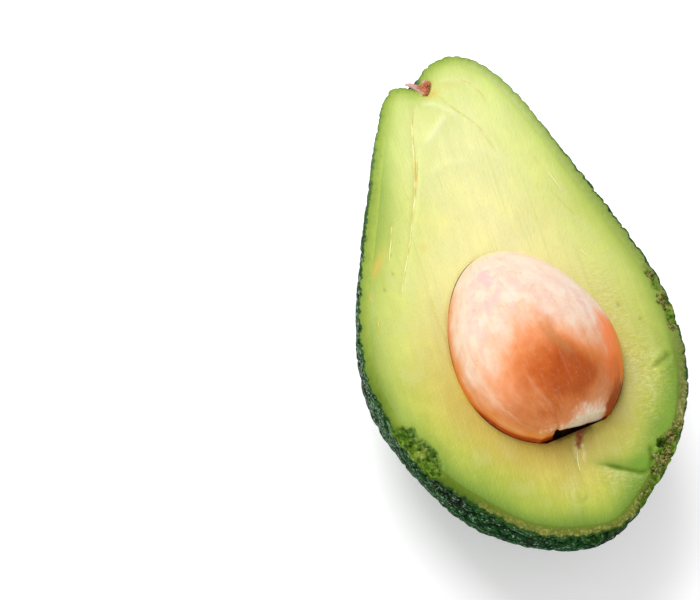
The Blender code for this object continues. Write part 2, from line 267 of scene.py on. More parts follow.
class AvocadoSeed(bpy.types.PropertyGroup):
    """Sizes and colours of the seed."""

    length: size_of("Length", 43.5 * MM, "Length before the full end is cut off flat")
    width: size_of("Width", 33.8 * MM, "Width halfway along")
    egg: share_of("Egg", 0.18, "How much fuller the seed is towards the blossom end")
    base: share_of("Base", 0.90, "Share of the half length at which the full end is cut off flat")
    dish: size_of("Dish", 1.2 * MM, "Depth of the hollow in the flat end")
    turn: angle_of("Turn", 10.0, "The seed's long axis, away from the fruit's")
    across: size_of("Across", 1.5 * MM, "The seed's middle, to the right of the cut face's middle")
    along: size_of("Along", -13.0 * MM, "The seed's middle, towards the stalk from the cut face's middle")
    drop: size_of("Drop", 1.2 * MM, "How far the seed's axis lies below the cut face")
    room: size_of("Room", 0.85 * MM, "Free space between the seed's flat end and the flesh")
    coat: colour_of("Coat Colour", (0.765, 0.596, 0.460), "Colour of the thin seed coat")
    bare: colour_of("Orange Colour", (0.720, 0.200, 0.024), "Colour towards the seed's edges")
    stain: colour_of("Stain Colour", (0.400, 0.062, 0.006), "Darkest colour of the brown patch")
    lip: colour_of("Lip Colour", (0.860, 0.750, 0.590), "Colour of the pale skin at the flat end")


class AvocadoStub(bpy.types.PropertyGroup):
    """Sizes and colours of the stub of the stalk."""

    across: size_of("Across", -2.9 * MM, "The stub's place, to the right of the cut face's middle")
    along: size_of("Along", 49.2 * MM, "The stub's place, towards the stalk from the cut face's middle")
    turn: angle_of("Turn", 18.0, "To the left of the fruit's long axis")
    radius: size_of("Radius", 2.2 * MM, "Radius of the stub")
    root: size_of("Root", 2.1 * MM, "How deep the stub reaches into the flesh")
    tip: size_of("Tip", 0.8 * MM, "How far the stub stands out")
    wood: colour_of("Wood Colour", (0.560, 0.190, 0.075), "Colour of the split wood")
    dry: colour_of("Dry Colour", (0.640, 0.380, 0.300), "Colour of the dry torn end")


class AvocadoStage(bpy.types.PropertyGroup):
    """Camera, lights and floor."""

    lens: number_of("Lens", 150.58, "Focal length in millimetres on a sensor 36 mm wide")
    key: number_of("Key Light", 12.4, "Power of the large soft light in watts")
    side: number_of("Side Light", 0.6, "Power of the small light low on the left, in watts")
    sky: number_of("Surroundings", 0.60, "Brightness of the white surroundings")
    floor: colour_of("Floor Colour", (0.90, 0.90, 0.90), "Colour of the floor")
    glow: number_of("Floor Glow", 0.24, "How strongly the floor is lit from below")


def smooth_step(value, start, end):
    """0 before start, 1 past end, smooth between them. start may be the higher of the two."""
    share = np.clip((np.asarray(value, float) - start) / (end - start), 0.0, 1.0)
    return share * share * (3 - 2 * share)


def soft(gap, width):
    """1 where the gap is 0, falling softly to 0 over about twice the width."""
    return np.exp(-((gap / width) ** 2))


def ripple(points, size, shift=0.0, octaves=1):
    """Smooth noise at the points, about -1 to 1, its bumps about size apart. size may differ by axis."""
    scaled = np.asarray(points) / size + shift
    return np.array([noise.fractal(Vector(p), 1.0, 2.0, octaves) for p in scaled])


class Fruit:
    """The fruit's smooth surface, whose rings pass through two points of the cut face's outline."""

    def __init__(self, sizes):
        self.sizes = sizes
        half = np.array([sizes.width / 2, sizes.length / 2])
        left = np.array([STALK_END, *(pair[0] for pair in OUTLINE_PAIRS), BLOSSOM_END]) * half
        right = np.array([STALK_END, *(pair[1] for pair in OUTLINE_PAIRS), BLOSSOM_END]) * half
        steps = sum(np.linalg.norm(np.diff(side, axis=0), axis=1) for side in (left, right)) / 2
        self.span = float(steps.sum())
        self.points = np.concatenate([left, right[-2:0:-1]])
        self.steps = np.concatenate([steps, steps[::-1]])
        self.knots = np.concatenate([[0.0], np.cumsum(self.steps)])
        count = len(self.points)
        slopes = (np.roll(self.points, -1, axis=0) - self.points) / self.steps[:, None]
        matrix = np.zeros((count, count))
        for i in range(count):
            matrix[i, i - 1] = self.steps[i - 1]
            matrix[i, i] = 2 * (self.steps[i - 1] + self.steps[i])
            matrix[i, (i + 1) % count] = self.steps[i]
        self.bends = np.linalg.solve(matrix, 6 * (slopes - np.roll(slopes, 1, axis=0)))

    def outline(self, distance):
        """Points of the outline at the distances along it: a periodic cubic spline."""
        distance = np.mod(distance, self.knots[-1])
        i = np.clip(np.searchsorted(self.knots, distance, side="right") - 1, 0, len(self.points) - 1)
        j = (i + 1) % len(self.points)
        b = ((distance - self.knots[i]) / self.steps[i])[:, None]
        a = 1 - b
        bend = (a**3 - a) * self.bends[i] + (b**3 - b) * self.bends[j]
        return a * self.points[i] + b * self.points[j] + bend * self.steps[i][:, None] ** 2 / 6

    def surface(self, directions):
        """Where points of the unit ball lie on the fruit, from the middle of the cut face."""
        x, y, z = np.asarray(directions, float).T
        distance = self.span * (np.arccos(np.clip(y, -1.0, 1.0)) / math.pi) ** STEM_CROWDING
        left, right = self.outline(distance), self.outline(2 * self.span - distance)
        middle, reach = (left + right) / 2, (right - left) / 2
        belly = self.sizes.depth - self.sizes.cut_above
        lift = math.asin(self.sizes.cut_above / belly)
        turn = np.arctan2(-z, x)
        stretch = np.where(turn >= 0, 1 + 2 * lift / math.pi, 1 - 2 * lift / math.pi)
        angle = turn * stretch - lift
        flat = middle + reach * (np.cos(angle) / math.cos(lift))[:, None]
        share = np.linalg.norm(reach, axis=1) / (self.sizes.width / 2)
        sunk = self.sizes.cut_above + belly * np.sin(angle)
        tail = self.sizes.tail_bulge * (distance / self.span) ** TAIL_POWER * sunk / self.sizes.depth
        return np.stack([flat[:, 0], flat[:, 1] - tail, -share * sunk], axis=1)

    def rim(self, count, inset):
        """Points round the cut face, drawn in by inset, and the unit ball's directions to them."""
        angle = np.arange(count) * 2 * math.pi / count
        directions = np.stack([np.cos(angle), np.sin(angle), np.zeros(count)], axis=1)
        points = self.surface(directions)
        return points - level_outward(points) * inset, directions

    def lining(self, around, depth):
        """Rows of points below a rim's directions, drawn in by depth, and the one lowest point."""
        rows = []
        for step in np.linspace(0.0, 1.0, 17)[1:-1]:
            dive = around * math.cos(step * math.pi / 2) - UP * math.sin(step * math.pi / 2)
            smooth = self.surface(dive)
            inward = np.array([0.0, -0.2 * self.sizes.width, 0.0]) - smooth
            rows.append(smooth + inward / np.linalg.norm(inward, axis=1)[:, None] * depth)
        return rows, self.surface([-UP]) + UP * depth


def level_outward(loop):
    """Outward level directions of a closed loop that runs anticlockwise."""
    along = np.roll(loop, -1, axis=0) - np.roll(loop, 1, axis=0)
    out = np.stack([along[:, 1], -along[:, 0], np.zeros(len(loop))], axis=1)
    return out / np.linalg.norm(out, axis=1)[:, None]


class Egg:
    """The seed's form and place."""

    def __init__(self, sizes):
        self.sizes = sizes
        self.turned = np.array(Matrix.Rotation(sizes.turn, 3, "Z"))
        self.middle = np.array([sizes.across, sizes.along, -sizes.drop])

    def radius(self, y):
        return self.sizes.width / 2 * (1 - self.sizes.egg * y)

    def surface(self, directions, grow=0.0, hollow=False):
        """Where points of the unit ball lie on the seed, or with hollow on the flesh round it."""
        directions = np.asarray(directions, float)
        x, y, z = directions.T
        radius = self.radius(y)
        half_length, base = self.sizes.length / 2, self.sizes.base
        along = y * half_length
        if hollow:
            along = np.maximum(along, -half_length * base - self.sizes.room)
        else:
            out = np.hypot(x, z) / math.sqrt(1 - base**2)
            dished = -half_length * base + self.sizes.dish * (1 - out * out)
            along = np.where(y < -base, dished, along)
        local = np.stack([x * radius, along, z * radius], axis=1) + directions * grow
        return local @ self.turned.T + self.middle

    def local(self, points):
        """The points from the seed's middle: across, along towards the stalk, and up."""
        return (np.asarray(points) - self.middle) @ self.turned

    def edge(self, count, grow):
        """Directions to where the hollow meets the cut face, anticlockwise."""
        angle = np.arange(count) * 2 * math.pi / count
        tilt = np.full(count, math.pi / 2)
        for _ in range(8):
            tilt = np.arccos(-self.sizes.drop / (self.radius(np.sin(angle) * np.sin(tilt)) + grow))
        return angle, tilt


def ball_quads(facets, lower_half):
    """Directions on the unit ball, or on its lower half, and quads: a cube's grid blown up round."""
    half = facets // 2
    places = []
    for axis in range(3):
        for side in (0, facets):
            if lower_half and axis == 2 and side:
                continue
            u, v = (other for other in range(3) if other != axis)
            spread = half if lower_half and v == 2 else facets
            at_u, at_v = np.meshgrid(np.arange(facets), np.arange(spread), indexing="ij")
            corners = np.empty((at_u.size, 4, 3), int)
            corners[..., axis] = side
            for i, (du, dv) in enumerate(((0, 0), (1, 0), (1, 1), (0, 1))):
                corners[:, i, u], corners[:, i, v] = at_u.ravel() + du, at_v.ravel() + dv
            places.append(corners)
    places = np.concatenate(places)
    keys = (places[..., 0] * (facets + 1) + places[..., 1]) * (facets + 1) + places[..., 2]
    _, first, index = np.unique(keys.ravel(), return_index=True, return_inverse=True)
    spread = np.tan(math.pi / 4 * (places.reshape(-1, 3)[first] / half - 1))
    directions = spread / np.linalg.norm(spread, axis=1)[:, None]
    directions[np.abs(directions) < 1e-12] = 0.0
    quads = index.reshape(-1, 4)
    a, b, c = (directions[quads[:, i]] for i in range(3))
    inward = (np.cross(b - a, c - a) * a).sum(axis=1) < 0
    quads[inward] = quads[inward][:, ::-1]
    return directions, quads


def outward(points, quads):
    """The surface's direction at each point."""
    a, b, c, d = (points[quads[:, i]] for i in range(4))
    across = np.cross(c - a, d - b)
    total = np.zeros_like(points)
    for i in range(4):
        np.add.at(total, quads[:, i], across)
    return total / np.maximum(np.linalg.norm(total, axis=1), 1e-12)[:, None]


def set_masks(mesh, masks):
    """Gives the points of a mesh their values, which the finishes read by name."""
    for name, values in masks.items():
        made = mesh.attributes.new(name, "FLOAT", "POINT")
        made.data.foreach_set("value", np.asarray(values, np.float32))


def plain_mesh(name, points, faces, finish, masks, crease):
    """A smooth mesh from points given from the middle of the cut face. crease is in degrees."""
    mesh = bpy.data.meshes.new(name)
    mesh.from_pydata((points + FACE_MIDDLE).tolist(), [], [list(map(int, face)) for face in faces])
    set_masks(mesh, masks)
    mesh.shade_smooth()
    mesh.set_sharp_from_angle(angle=math.radians(crease))
    mesh.materials.append(finish)
    mesh.validate()
    return mesh


def add_piece(name, mesh, slot, *nodes):
    """Adds the mesh as a piece of the fruit that stands for the named solids."""
    piece = bpy.data.objects.new(name, mesh)
    bpy.context.scene.collection.objects.link(piece)
    if nodes:
        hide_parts(*nodes)
    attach(piece, "root")


class Value:
    """An output of a node. Adding, subtracting and multiplying add a node each."""

    def __init__(self, owner, socket):
        self.owner, self.socket = owner, socket

    def math(self, operation, other):
        return self.owner.node("ShaderNodeMath", {0: self, 1: other}, operation=operation)

    def __add__(self, other):
        return self.math("ADD", other)

    def __sub__(self, other):
        return self.math("SUBTRACT", other)

    def __mul__(self, other):
        return self.math("MULTIPLY", other)

    def rise(self, low, high, top=1.0, bottom=0.0, kind="SMOOTHSTEP"):
        """bottom where the value is at low, top where it is at high, and level beyond both."""
        inputs = {"Value": self, "From Min": low, "From Max": high, "To Min": bottom, "To Max": top}
        return self.owner.node("ShaderNodeMapRange", inputs, interpolation_type=kind)


class Nodes:
    """A node tree that grows by a node at a time."""

    def __init__(self, tree):
        self.tree = tree

    def link(self, source, socket):
        """Joins an output to the socket, or sets the socket to a value."""
        source = source.socket if isinstance(source, Value) else source
        if isinstance(source, bpy.types.NodeSocket):
            self.tree.links.new(source, socket)
        elif socket.type == "RGBA" and not isinstance(source, (int, float)):
            socket.default_value = (*source, 1.0)
        else:
            socket.default_value = source

    def node(self, kind, inputs, output=0, **settings):
        """Adds a node with its settings and inputs, and returns one of its outputs."""
        made = self.tree.nodes.new(kind)
        for key, value in settings.items():
            setattr(made, key, value)
        for key, value in inputs.items():
            self.link(value, made.inputs[key])
        return Value(self, made.outputs[output])

    def vector(self, operation, *inputs, **named):
        """Vector arithmetic on inputs in their order, or by name."""
        inputs = {**dict(enumerate(inputs)), **named}
        return self.node("ShaderNodeVectorMath", inputs, operation=operation)


class Finish(Nodes):
    """A material and the few kinds of node that the finishes use. Patterns are in millimetres."""

    def __init__(self, name):
        self.material = bpy.data.materials.new(name)
        self.material.use_nodes = True
        super().__init__(self.material.node_tree)
        self.object_place = self.node("ShaderNodeTexCoord", {}, "Object")

    def mask(self, name):
        """The values that set_masks gave the points under this name."""
        return self.node("ShaderNodeAttribute", {}, "Fac", attribute_name=name)

    def place(self, size, turn=0.0):
        """Object coordinates over the pattern's size, which may differ by axis. turn is in degrees."""
        if isinstance(size, Value):
            return size
        scale = tuple(1 / MM / s for s in np.broadcast_to(size, 3))
        inputs = {"Vector": self.object_place, "Rotation": (0.0, 0.0, math.radians(turn)), "Scale": scale}
        return self.node("ShaderNodeMapping", inputs)

    def noise(self, size, detail=2.0, roughness=0.5, distortion=0.0, turn=0.0, output=0):
        """Smooth noise with bumps of the size, or at a vector that is given instead."""
        inputs = {"Vector": self.place(size, turn), "Scale": 1.0, "Detail": detail, "Roughness": roughness}
        return self.node("ShaderNodeTexNoise", {**inputs, "Distortion": distortion}, output)

    def cells(self, size, feature="F1"):
        """Distances in a pattern of cells, about 0 at their middles, or at a vector given instead."""
        inputs = {"Vector": self.place(size), "Scale": 1.0}
        return self.node("ShaderNodeTexVoronoi", inputs, "Distance", feature=feature)

    def mix(self, factor, under, over, blend="MIX"):
        """A colour with another over it by the factor."""
        inputs = {0: factor, 6: under, 7: over}
        return self.node("ShaderNodeMix", inputs, 2, data_type="RGBA", blend_type=blend)

    def layers(self, colour, *layers):
        """The colour with others laid over it one by one, each as (factor, colour)."""
        for factor, over in layers:
            colour = self.mix(factor, colour, over)
        return colour

    def ramp(self, factor, stops):
        """A colour for each (place, colour), blended between them."""
        made = self.node("ShaderNodeValToRGB", {0: factor})
        blend = made.socket.node.color_ramp.elements
        (blend[0].position, first), (blend[1].position, last) = stops[0], stops[-1]
        blend[0].color, blend[1].color = (*first, 1.0), (*last, 1.0)
        for at, colour in stops[1:-1]:
            blend.new(at).color = (*colour, 1.0)
        return made

    def bump(self, height, depth, strength):
        """A bump whose height of 1 stands for depth, in metres."""
        return self.node("ShaderNodeBump", {"Height": height, "Distance": depth, "Strength": strength})

    def surface(self, **sockets):
        """Sets the shader's own sockets, named with underscores for spaces."""
        for key, value in sockets.items():
            self.link(value, self.tree.nodes["Principled BSDF"].inputs[key.replace("_", " ")])
        return self.material


def spread_points(fruit, size, stretch, seed, tries, finest, reach, highest=1.1):
    """Middles of pebbles, about size apart and finer within reach of the stalk's hollow.

    highest is the level on the unit ball, 1 at its top, above which there are none.
    """
    draw = np.random.default_rng(seed)
    directions = draw.normal(size=(tries, 3))
    directions /= np.linalg.norm(directions, axis=1)[:, None]
    spots = fruit.surface(directions[directions[:, 2] < highest])
    hollow = np.array([STALK_END[0] * fruit.sizes.width / 2, STALK_END[1] * fruit.sizes.length / 2, 0.0])
    fine = 1 - smooth_step(np.linalg.norm(spots - hollow, axis=1), *reach)
    apart = 0.8 * size * (1 - (1 - finest) * fine)
    kept = np.empty((tries, 3))
    count = 0
    for place, gap in zip(spots * (1.0, 1 / stretch, 1.0), apart):
        if not count or ((kept[:count] - place) ** 2).sum(axis=1).min() > gap * gap:
            kept[count] = place
            count += 1
    return kept[:count]


def cell_domes(points, middles, stretch, size, groove, seed):
    """Heights from 0 in the grooves to about 1 on the cells' tops, each cell a little different."""
    tree = kdtree.KDTree(len(middles))
    for i, middle in enumerate(middles):
        tree.insert(Vector(middle), i)
    tree.balance()
    lift = np.random.default_rng(seed).uniform(0.68, 1.0, len(middles))
    found = [tree.find_n(Vector(p), 2) for p in points * (1.0, 1 / stretch, 1.0)]
    near = np.array([[f[0][2], f[1][2]] for f in found])
    edge = np.clip((near[:, 1] - near[:, 0]) / (groove * size), 0.0, 1.0)
    crown = 1 - np.clip(near[:, 0] / size, 0.0, 1.0) ** 2
    return (1 - (1 - edge) ** 2) * (0.55 + 0.45 * crown) * lift[[f[0][1] for f in found]]


def peel_relief(fruit, peel, points):
    """How far the peel stands out from the smooth fruit, in lumps, pebbles and grain, and the pebbles."""
    lumps = spread_points(
        fruit, peel.lump_size, peel.stretch, seed=7, tries=14000, finest=0.32, reach=(6 * MM, 24 * MM))
    lump = cell_domes(points, lumps, peel.stretch, peel.lump_size, groove=0.5, seed=3)
    pebbles = spread_points(
        fruit, peel.pebble_size, peel.stretch, peel.seed, tries=60000, finest=0.6,
        reach=(6 * MM, 30 * MM), highest=0.12)
    pebble = cell_domes(points, pebbles, peel.stretch, peel.pebble_size, groove=0.36, seed=5)
    grain = ripple(points, 1.1 * MM, 3.1, 2)
    swell = ripple(points, 7.0 * MM, 11.7)
    fade = 1 - 0.4 * smooth_step(points[:, 1], 24 * MM, 52 * MM)
    height = 0.38 * lump + 0.66 * pebble + 0.12 * grain + 0.08 * swell - 0.06
    below = -points[:, 2] / MM
    # The peel bulges just below the cut at the lower left, and a little at the left of the neck
    bulge = oval_spots(points / MM, ((1.35, -14.5, -43.0, 9.0, 9.0, 0),))
    bulge *= smooth_step(below, 1.0, 8.0) * smooth_step(below, 24.0, 13.0)
    bulge += oval_spots(points / MM, ((0.40, -23.0, 21.0, 5.0, 9.0, 0),)) * smooth_step(below, 12.0, 2.0)
    return np.clip(height, -0.2, 1.08) * fade * peel.height + bulge * MM, pebble


def cut_colour(made, flesh):
    """Colour of the cut face by the distance from its outer edge, in three stages of ripeness."""
    rim = made.mask("rim")
    drift = made.noise((2.4, 15.0, 5.0), 3.0, turn=-6) * 1.8 + made.noise((7.0, 10.0, 7.0)) * 3.6
    share = (rim + (drift - 2.7) * rim.rise(0.3, 7.0)) * (1 / RIPE_DEPTH)
    neck = made.ramp(share, (
        (0.0, (0.222, 0.325, 0.052)), (0.058, (0.400, 0.508, 0.108)), (0.125, (0.540, 0.622, 0.178)),
        (0.21, (0.612, 0.668, 0.225)), (0.38, (0.655, 0.688, 0.272)), (0.6, flesh.pale),
    ))
    middle = made.ramp(share, (
        (0.0, (0.150, 0.240, 0.034)), (0.058, (0.280, 0.375, 0.056)), (0.125, (0.410, 0.492, 0.092)),
        (0.21, flesh.middle), (0.354, (0.600, 0.636, 0.188)), (0.5, (0.660, 0.652, 0.228)),
        (0.67, (0.702, 0.672, 0.270)), (0.92, (0.745, 0.685, 0.318)),
    ))
    full = made.ramp(share, (
        (0.0, flesh.rim), (0.062, (0.115, 0.178, 0.018)), (0.088, (0.146, 0.235, 0.022)),
        (0.125, (0.198, 0.295, 0.030)), (0.175, (0.275, 0.360, 0.040)), (0.25, (0.378, 0.430, 0.052)),
        (0.354, (0.455, 0.455, 0.064)), (0.5, (0.492, 0.430, 0.072)), (0.78, flesh.ripe),
    ))
    return made.layers(middle, (made.mask("neck"), neck), (made.mask("full"), full))


def cut_stages(place):
    """Shares of the young neck and of the full end at places on the cut face, in millimetres."""
    y = place[:, 1] + 4 * ripple(place * (1.0, 1.0, 0.0), 14.0, 2.0)
    ripe = y + 0.1 * place[:, 0] + 0.3 * np.clip(-14.0 - place[:, 0], 0.0, None)
    light = 1 - oval_spots(place, ((0.6, -29.5, -22.5, 2.5, 4.0, 0),))
    return {"neck": smooth_step(y, 12.0, 44.0), "full": smooth_step(ripe, 12.0, -30.0) * light}


def torn_colour(made, grain):
    """Colour of the broken rim: mossy green, dark in the pits and olive on the lumps."""
    blot = made.noise(1.6, 3.0, 0.6)
    return made.layers(
        made.mix(grain.rise(0.34, 0.64), (0.034, 0.088, 0.008), (0.145, 0.250, 0.024)),
        (made.noise(2.9).rise(0.52, 0.38, 0.75), (0.022, 0.075, 0.008)),
        (blot.rise(0.52, 0.66, 0.7), (0.310, 0.340, 0.065)),
        (blot.rise(0.64, 0.74, 0.7), (0.500, 0.550, 0.200)))


def peel_finish(peel, flesh):
    """The pebbled skin, its cut edge and its broken rim."""
    made = Finish("avocado_peel")
    pebble, rim, below, neck, left, cut, dryness = (
        made.mask(name) for name in ("pebble", "rim", "below", "neck", "left", "cut", "olive"))
    drift = made.noise((9.0, 13.0, 9.0), 3.0)
    grain = made.noise((0.9, 1.1, 0.9), 3.0, 0.6)
    fleck = made.noise((0.5, 0.6, 0.5), 3.0, 0.65)
    # Painted highlights: light grey-green flecks on the pebbles' facets, bluish glints on their tops and pale
    # flecks on the peel at the left stand in for reflections of the lights
    facet_glint = made.cells((0.95, 1.25, 0.95)).rise(0.50, 0.12) * pebble.rise(0.20, 0.6)
    glint = made.noise((0.5, 1.4, 0.7), 2.0, 0.7).rise(0.57, 0.68) * pebble.rise(0.40, 0.75)
    left_glint = made.noise((0.7, 1.1, 0.8), 3.0, 0.7).rise(0.53, 0.60) * left
    skin = made.layers(
        # Darker between the pebbles: partly the peel's own colour, partly painted shade in the grooves
        made.mix(pebble.rise(0.05, 0.85), peel.dark, peel.green),
        (drift.rise(0.50, 0.68, 0.75), (0.008, 0.006, 0.006)),
        (drift.rise(0.60, 0.38) * grain.rise(0.50, 0.72) * 0.6, (0.024, 0.110, 0.016)),
        # painted highlight on the pebbles' facets
        (facet_glint * fleck.rise(0.46, 0.60, 0.85), (0.120, 0.240, 0.130)),
        (grain.rise(0.47, 0.34, 0.8), (0.002, 0.008, 0.004)),
        # painted glints on the pebbles' tops
        (glint * 0.7, (0.320, 0.420, 0.360)),
        (below.rise(2.5, 0.0) * grain.rise(0.35, 0.65) * 0.5, (0.045, 0.130, 0.016)),
        (below.rise(3.6, 0.6) * neck * 0.85, (0.125, 0.215, 0.085)),
        # painted highlights on the peel at the left
        (left_glint * 0.75, (0.230, 0.340, 0.240)))
    # The cut edge: as the flesh beside it, olive brown where it is dry, dark at its outer line
    olive = (dryness + grain.rise(0.3, 0.7, 0.4, -0.4)).rise(0.3, 0.75) * rim.rise(1.75, 0.9)
    dry = dryness * rim.rise(1.65, 1.0)
    outer = (rim + grain.rise(0.3, 0.7, 0.2, -0.2)).rise(0.42, 0.12) * neck.rise(0.0, 1.0, 0.2, 1.0)
    edge = made.layers(
        cut_colour(made, flesh),
        (olive * 0.8, peel.cut),
        (grain.rise(0.52, 0.66, 0.45) * dry, (0.36, 0.34, 0.09)),
        (grain.rise(0.48, 0.34, 0.45) * dry, (0.07, 0.08, 0.014)),
        (fleck.rise(0.50, 0.68, 0.40) * dry, (0.40, 0.42, 0.13)),
        (fleck.rise(0.50, 0.32, 0.40) * dry, (0.06, 0.08, 0.015)),
        (outer, (0.022, 0.060, 0.014)))
    edge = made.mix(left * made.mask("full").rise(0.50, 0.1), edge, (1.26, 1.18, 1.40), "MULTIPLY")
    edge = made.mix(made.mask("right"), edge, (1.08, 1.02, 1.50), "MULTIPLY")
    colour = made.layers(skin, (cut, edge), (made.mask("torn"), torn_colour(made, grain)))
    rough = grain.rise(0.3, 0.7, 0.42, 0.24) + cut * 0.2
    height = grain * 0.9 - made.cells((1.25, 1.6, 1.25), "SMOOTH_F1") * 1.1 + fleck * 0.35
    normal = made.bump(height, 0.30 * MM, 0.8)
    return made.surface(Base_Color=colour, Roughness=rough, Specular_IOR_Level=0.004, Normal=normal)


def flesh_finish(flesh, seed):
    """The cut face, with fine grain, fibres that run away from the seed, and its marks."""
    made = Finish("avocado_flesh")
    streak = made.noise((1.1, 12.0, 3.0), 3.0, 0.55, turn=-6)
    blot = made.noise((5.0, 7.0, 5.0), 3.0)
    grain = made.noise((0.383, 0.510, 0.383), 3.0, 0.65)
    line = made.noise((0.55, 26.0, 5.0), turn=-6)
    hair = made.noise((1.3, 0.42, 0.8), 4.0, 0.65, 0.5, turn=28)
    # The fibres are noise that is fine across the rays from the seed's middle and long along them
    middle = Vector(FACE_MIDDLE) + Vector((seed.across, seed.along, 0.0))
    away = made.vector("SUBTRACT", made.object_place, middle)
    ray = made.vector("SCALE", made.vector("NORMALIZE", away), Scale=55.0)
    fibre = made.noise(made.vector("MULTIPLY_ADD", away, (600.0, 600.0, 600.0), ray), 2.0, 0.6, 0.4)
    tint = streak.rise(0.3, 0.7, 1.02, 0.975, "LINEAR") * blot.rise(0.3, 0.7, 1.05, 0.94, "LINEAR")
    tint = made.node("ShaderNodeCombineColor", {0: tint, 1: tint, 2: tint})
    # Grain and fibres fade towards the peel and the neck
    clear = made.mask("rim").rise(2.2, 7.0) * made.mask("neck").rise(1.0, 0.2, 1.0, 0.35)
    fuzz = made.mask("fuzz")
    colour = made.layers(
        made.mix(1.0, cut_colour(made, flesh), tint, "MULTIPLY"),
        (blot.rise(0.48, 0.72, 0.15) * clear, (0.720, 0.680, 0.150)),
        (blot.rise(0.50, 0.30, 0.13) * clear, (0.790, 0.800, 0.420)),
        (line.rise(0.58, 0.72, 0.16) * clear, (0.700, 0.640, 0.200)),
        (line.rise(0.42, 0.30, 0.14) * clear, (0.320, 0.420, 0.050)),
        (grain.rise(0.56, 0.78, 0.15) * clear, (0.782, 0.782, 0.425)),
        (grain.rise(0.44, 0.22, 0.15) * clear, (0.340, 0.400, 0.040)),
        (fibre.rise(0.55, 0.75, 0.11) * clear, (0.780, 0.760, 0.380)),
        (fibre.rise(0.45, 0.28, 0.11) * clear, (0.320, 0.380, 0.040)),
        (hair.rise(0.50, 0.66, 0.42) * fuzz, (0.790, 0.820, 0.500)),
        (hair.rise(0.49, 0.35, 0.36) * fuzz, (0.200, 0.310, 0.040)),
        # Painted shade in ochre beside the seed's lower end and along the strands
        (made.mask("ochre_shade"), (0.493, 0.340, 0.060)),
        # Pale marks, among them painted light where the seed's shadow falls to its right and below it
        (made.mask("pale"), (0.782, 0.790, 0.468)),
        (made.mask("green"), (0.170, 0.306, 0.025)),
        (made.mask("stain"), (0.680, 0.425, 0.076)),
        (made.mask("shade"), (0.111, 0.204, 0.012)),
        (made.mask("torn"), torn_colour(made, grain)),
        # Painted shadow at the edge of the hollow below the seed's flat end
        (made.mask("hollow_shadow"), (0.060, 0.034, 0.002)),
        (made.mask("bruise"), (0.260, 0.050, 0.016)))
    loose = fuzz * made.noise((0.255, 0.425, 0.255), 4.0)
    normal = made.bump(streak + fibre + (grain + loose * 2.5), 0.12 * MM, 0.6)
    return made.surface(
        Base_Color=colour, Roughness=grain.rise(0.3, 0.7, 0.52, 0.36), Specular_IOR_Level=0.2, Normal=normal,
        Subsurface_Weight=0.15, Subsurface_Radius=(1.0, 0.8, 0.3), Subsurface_Scale=1.2 * MM)


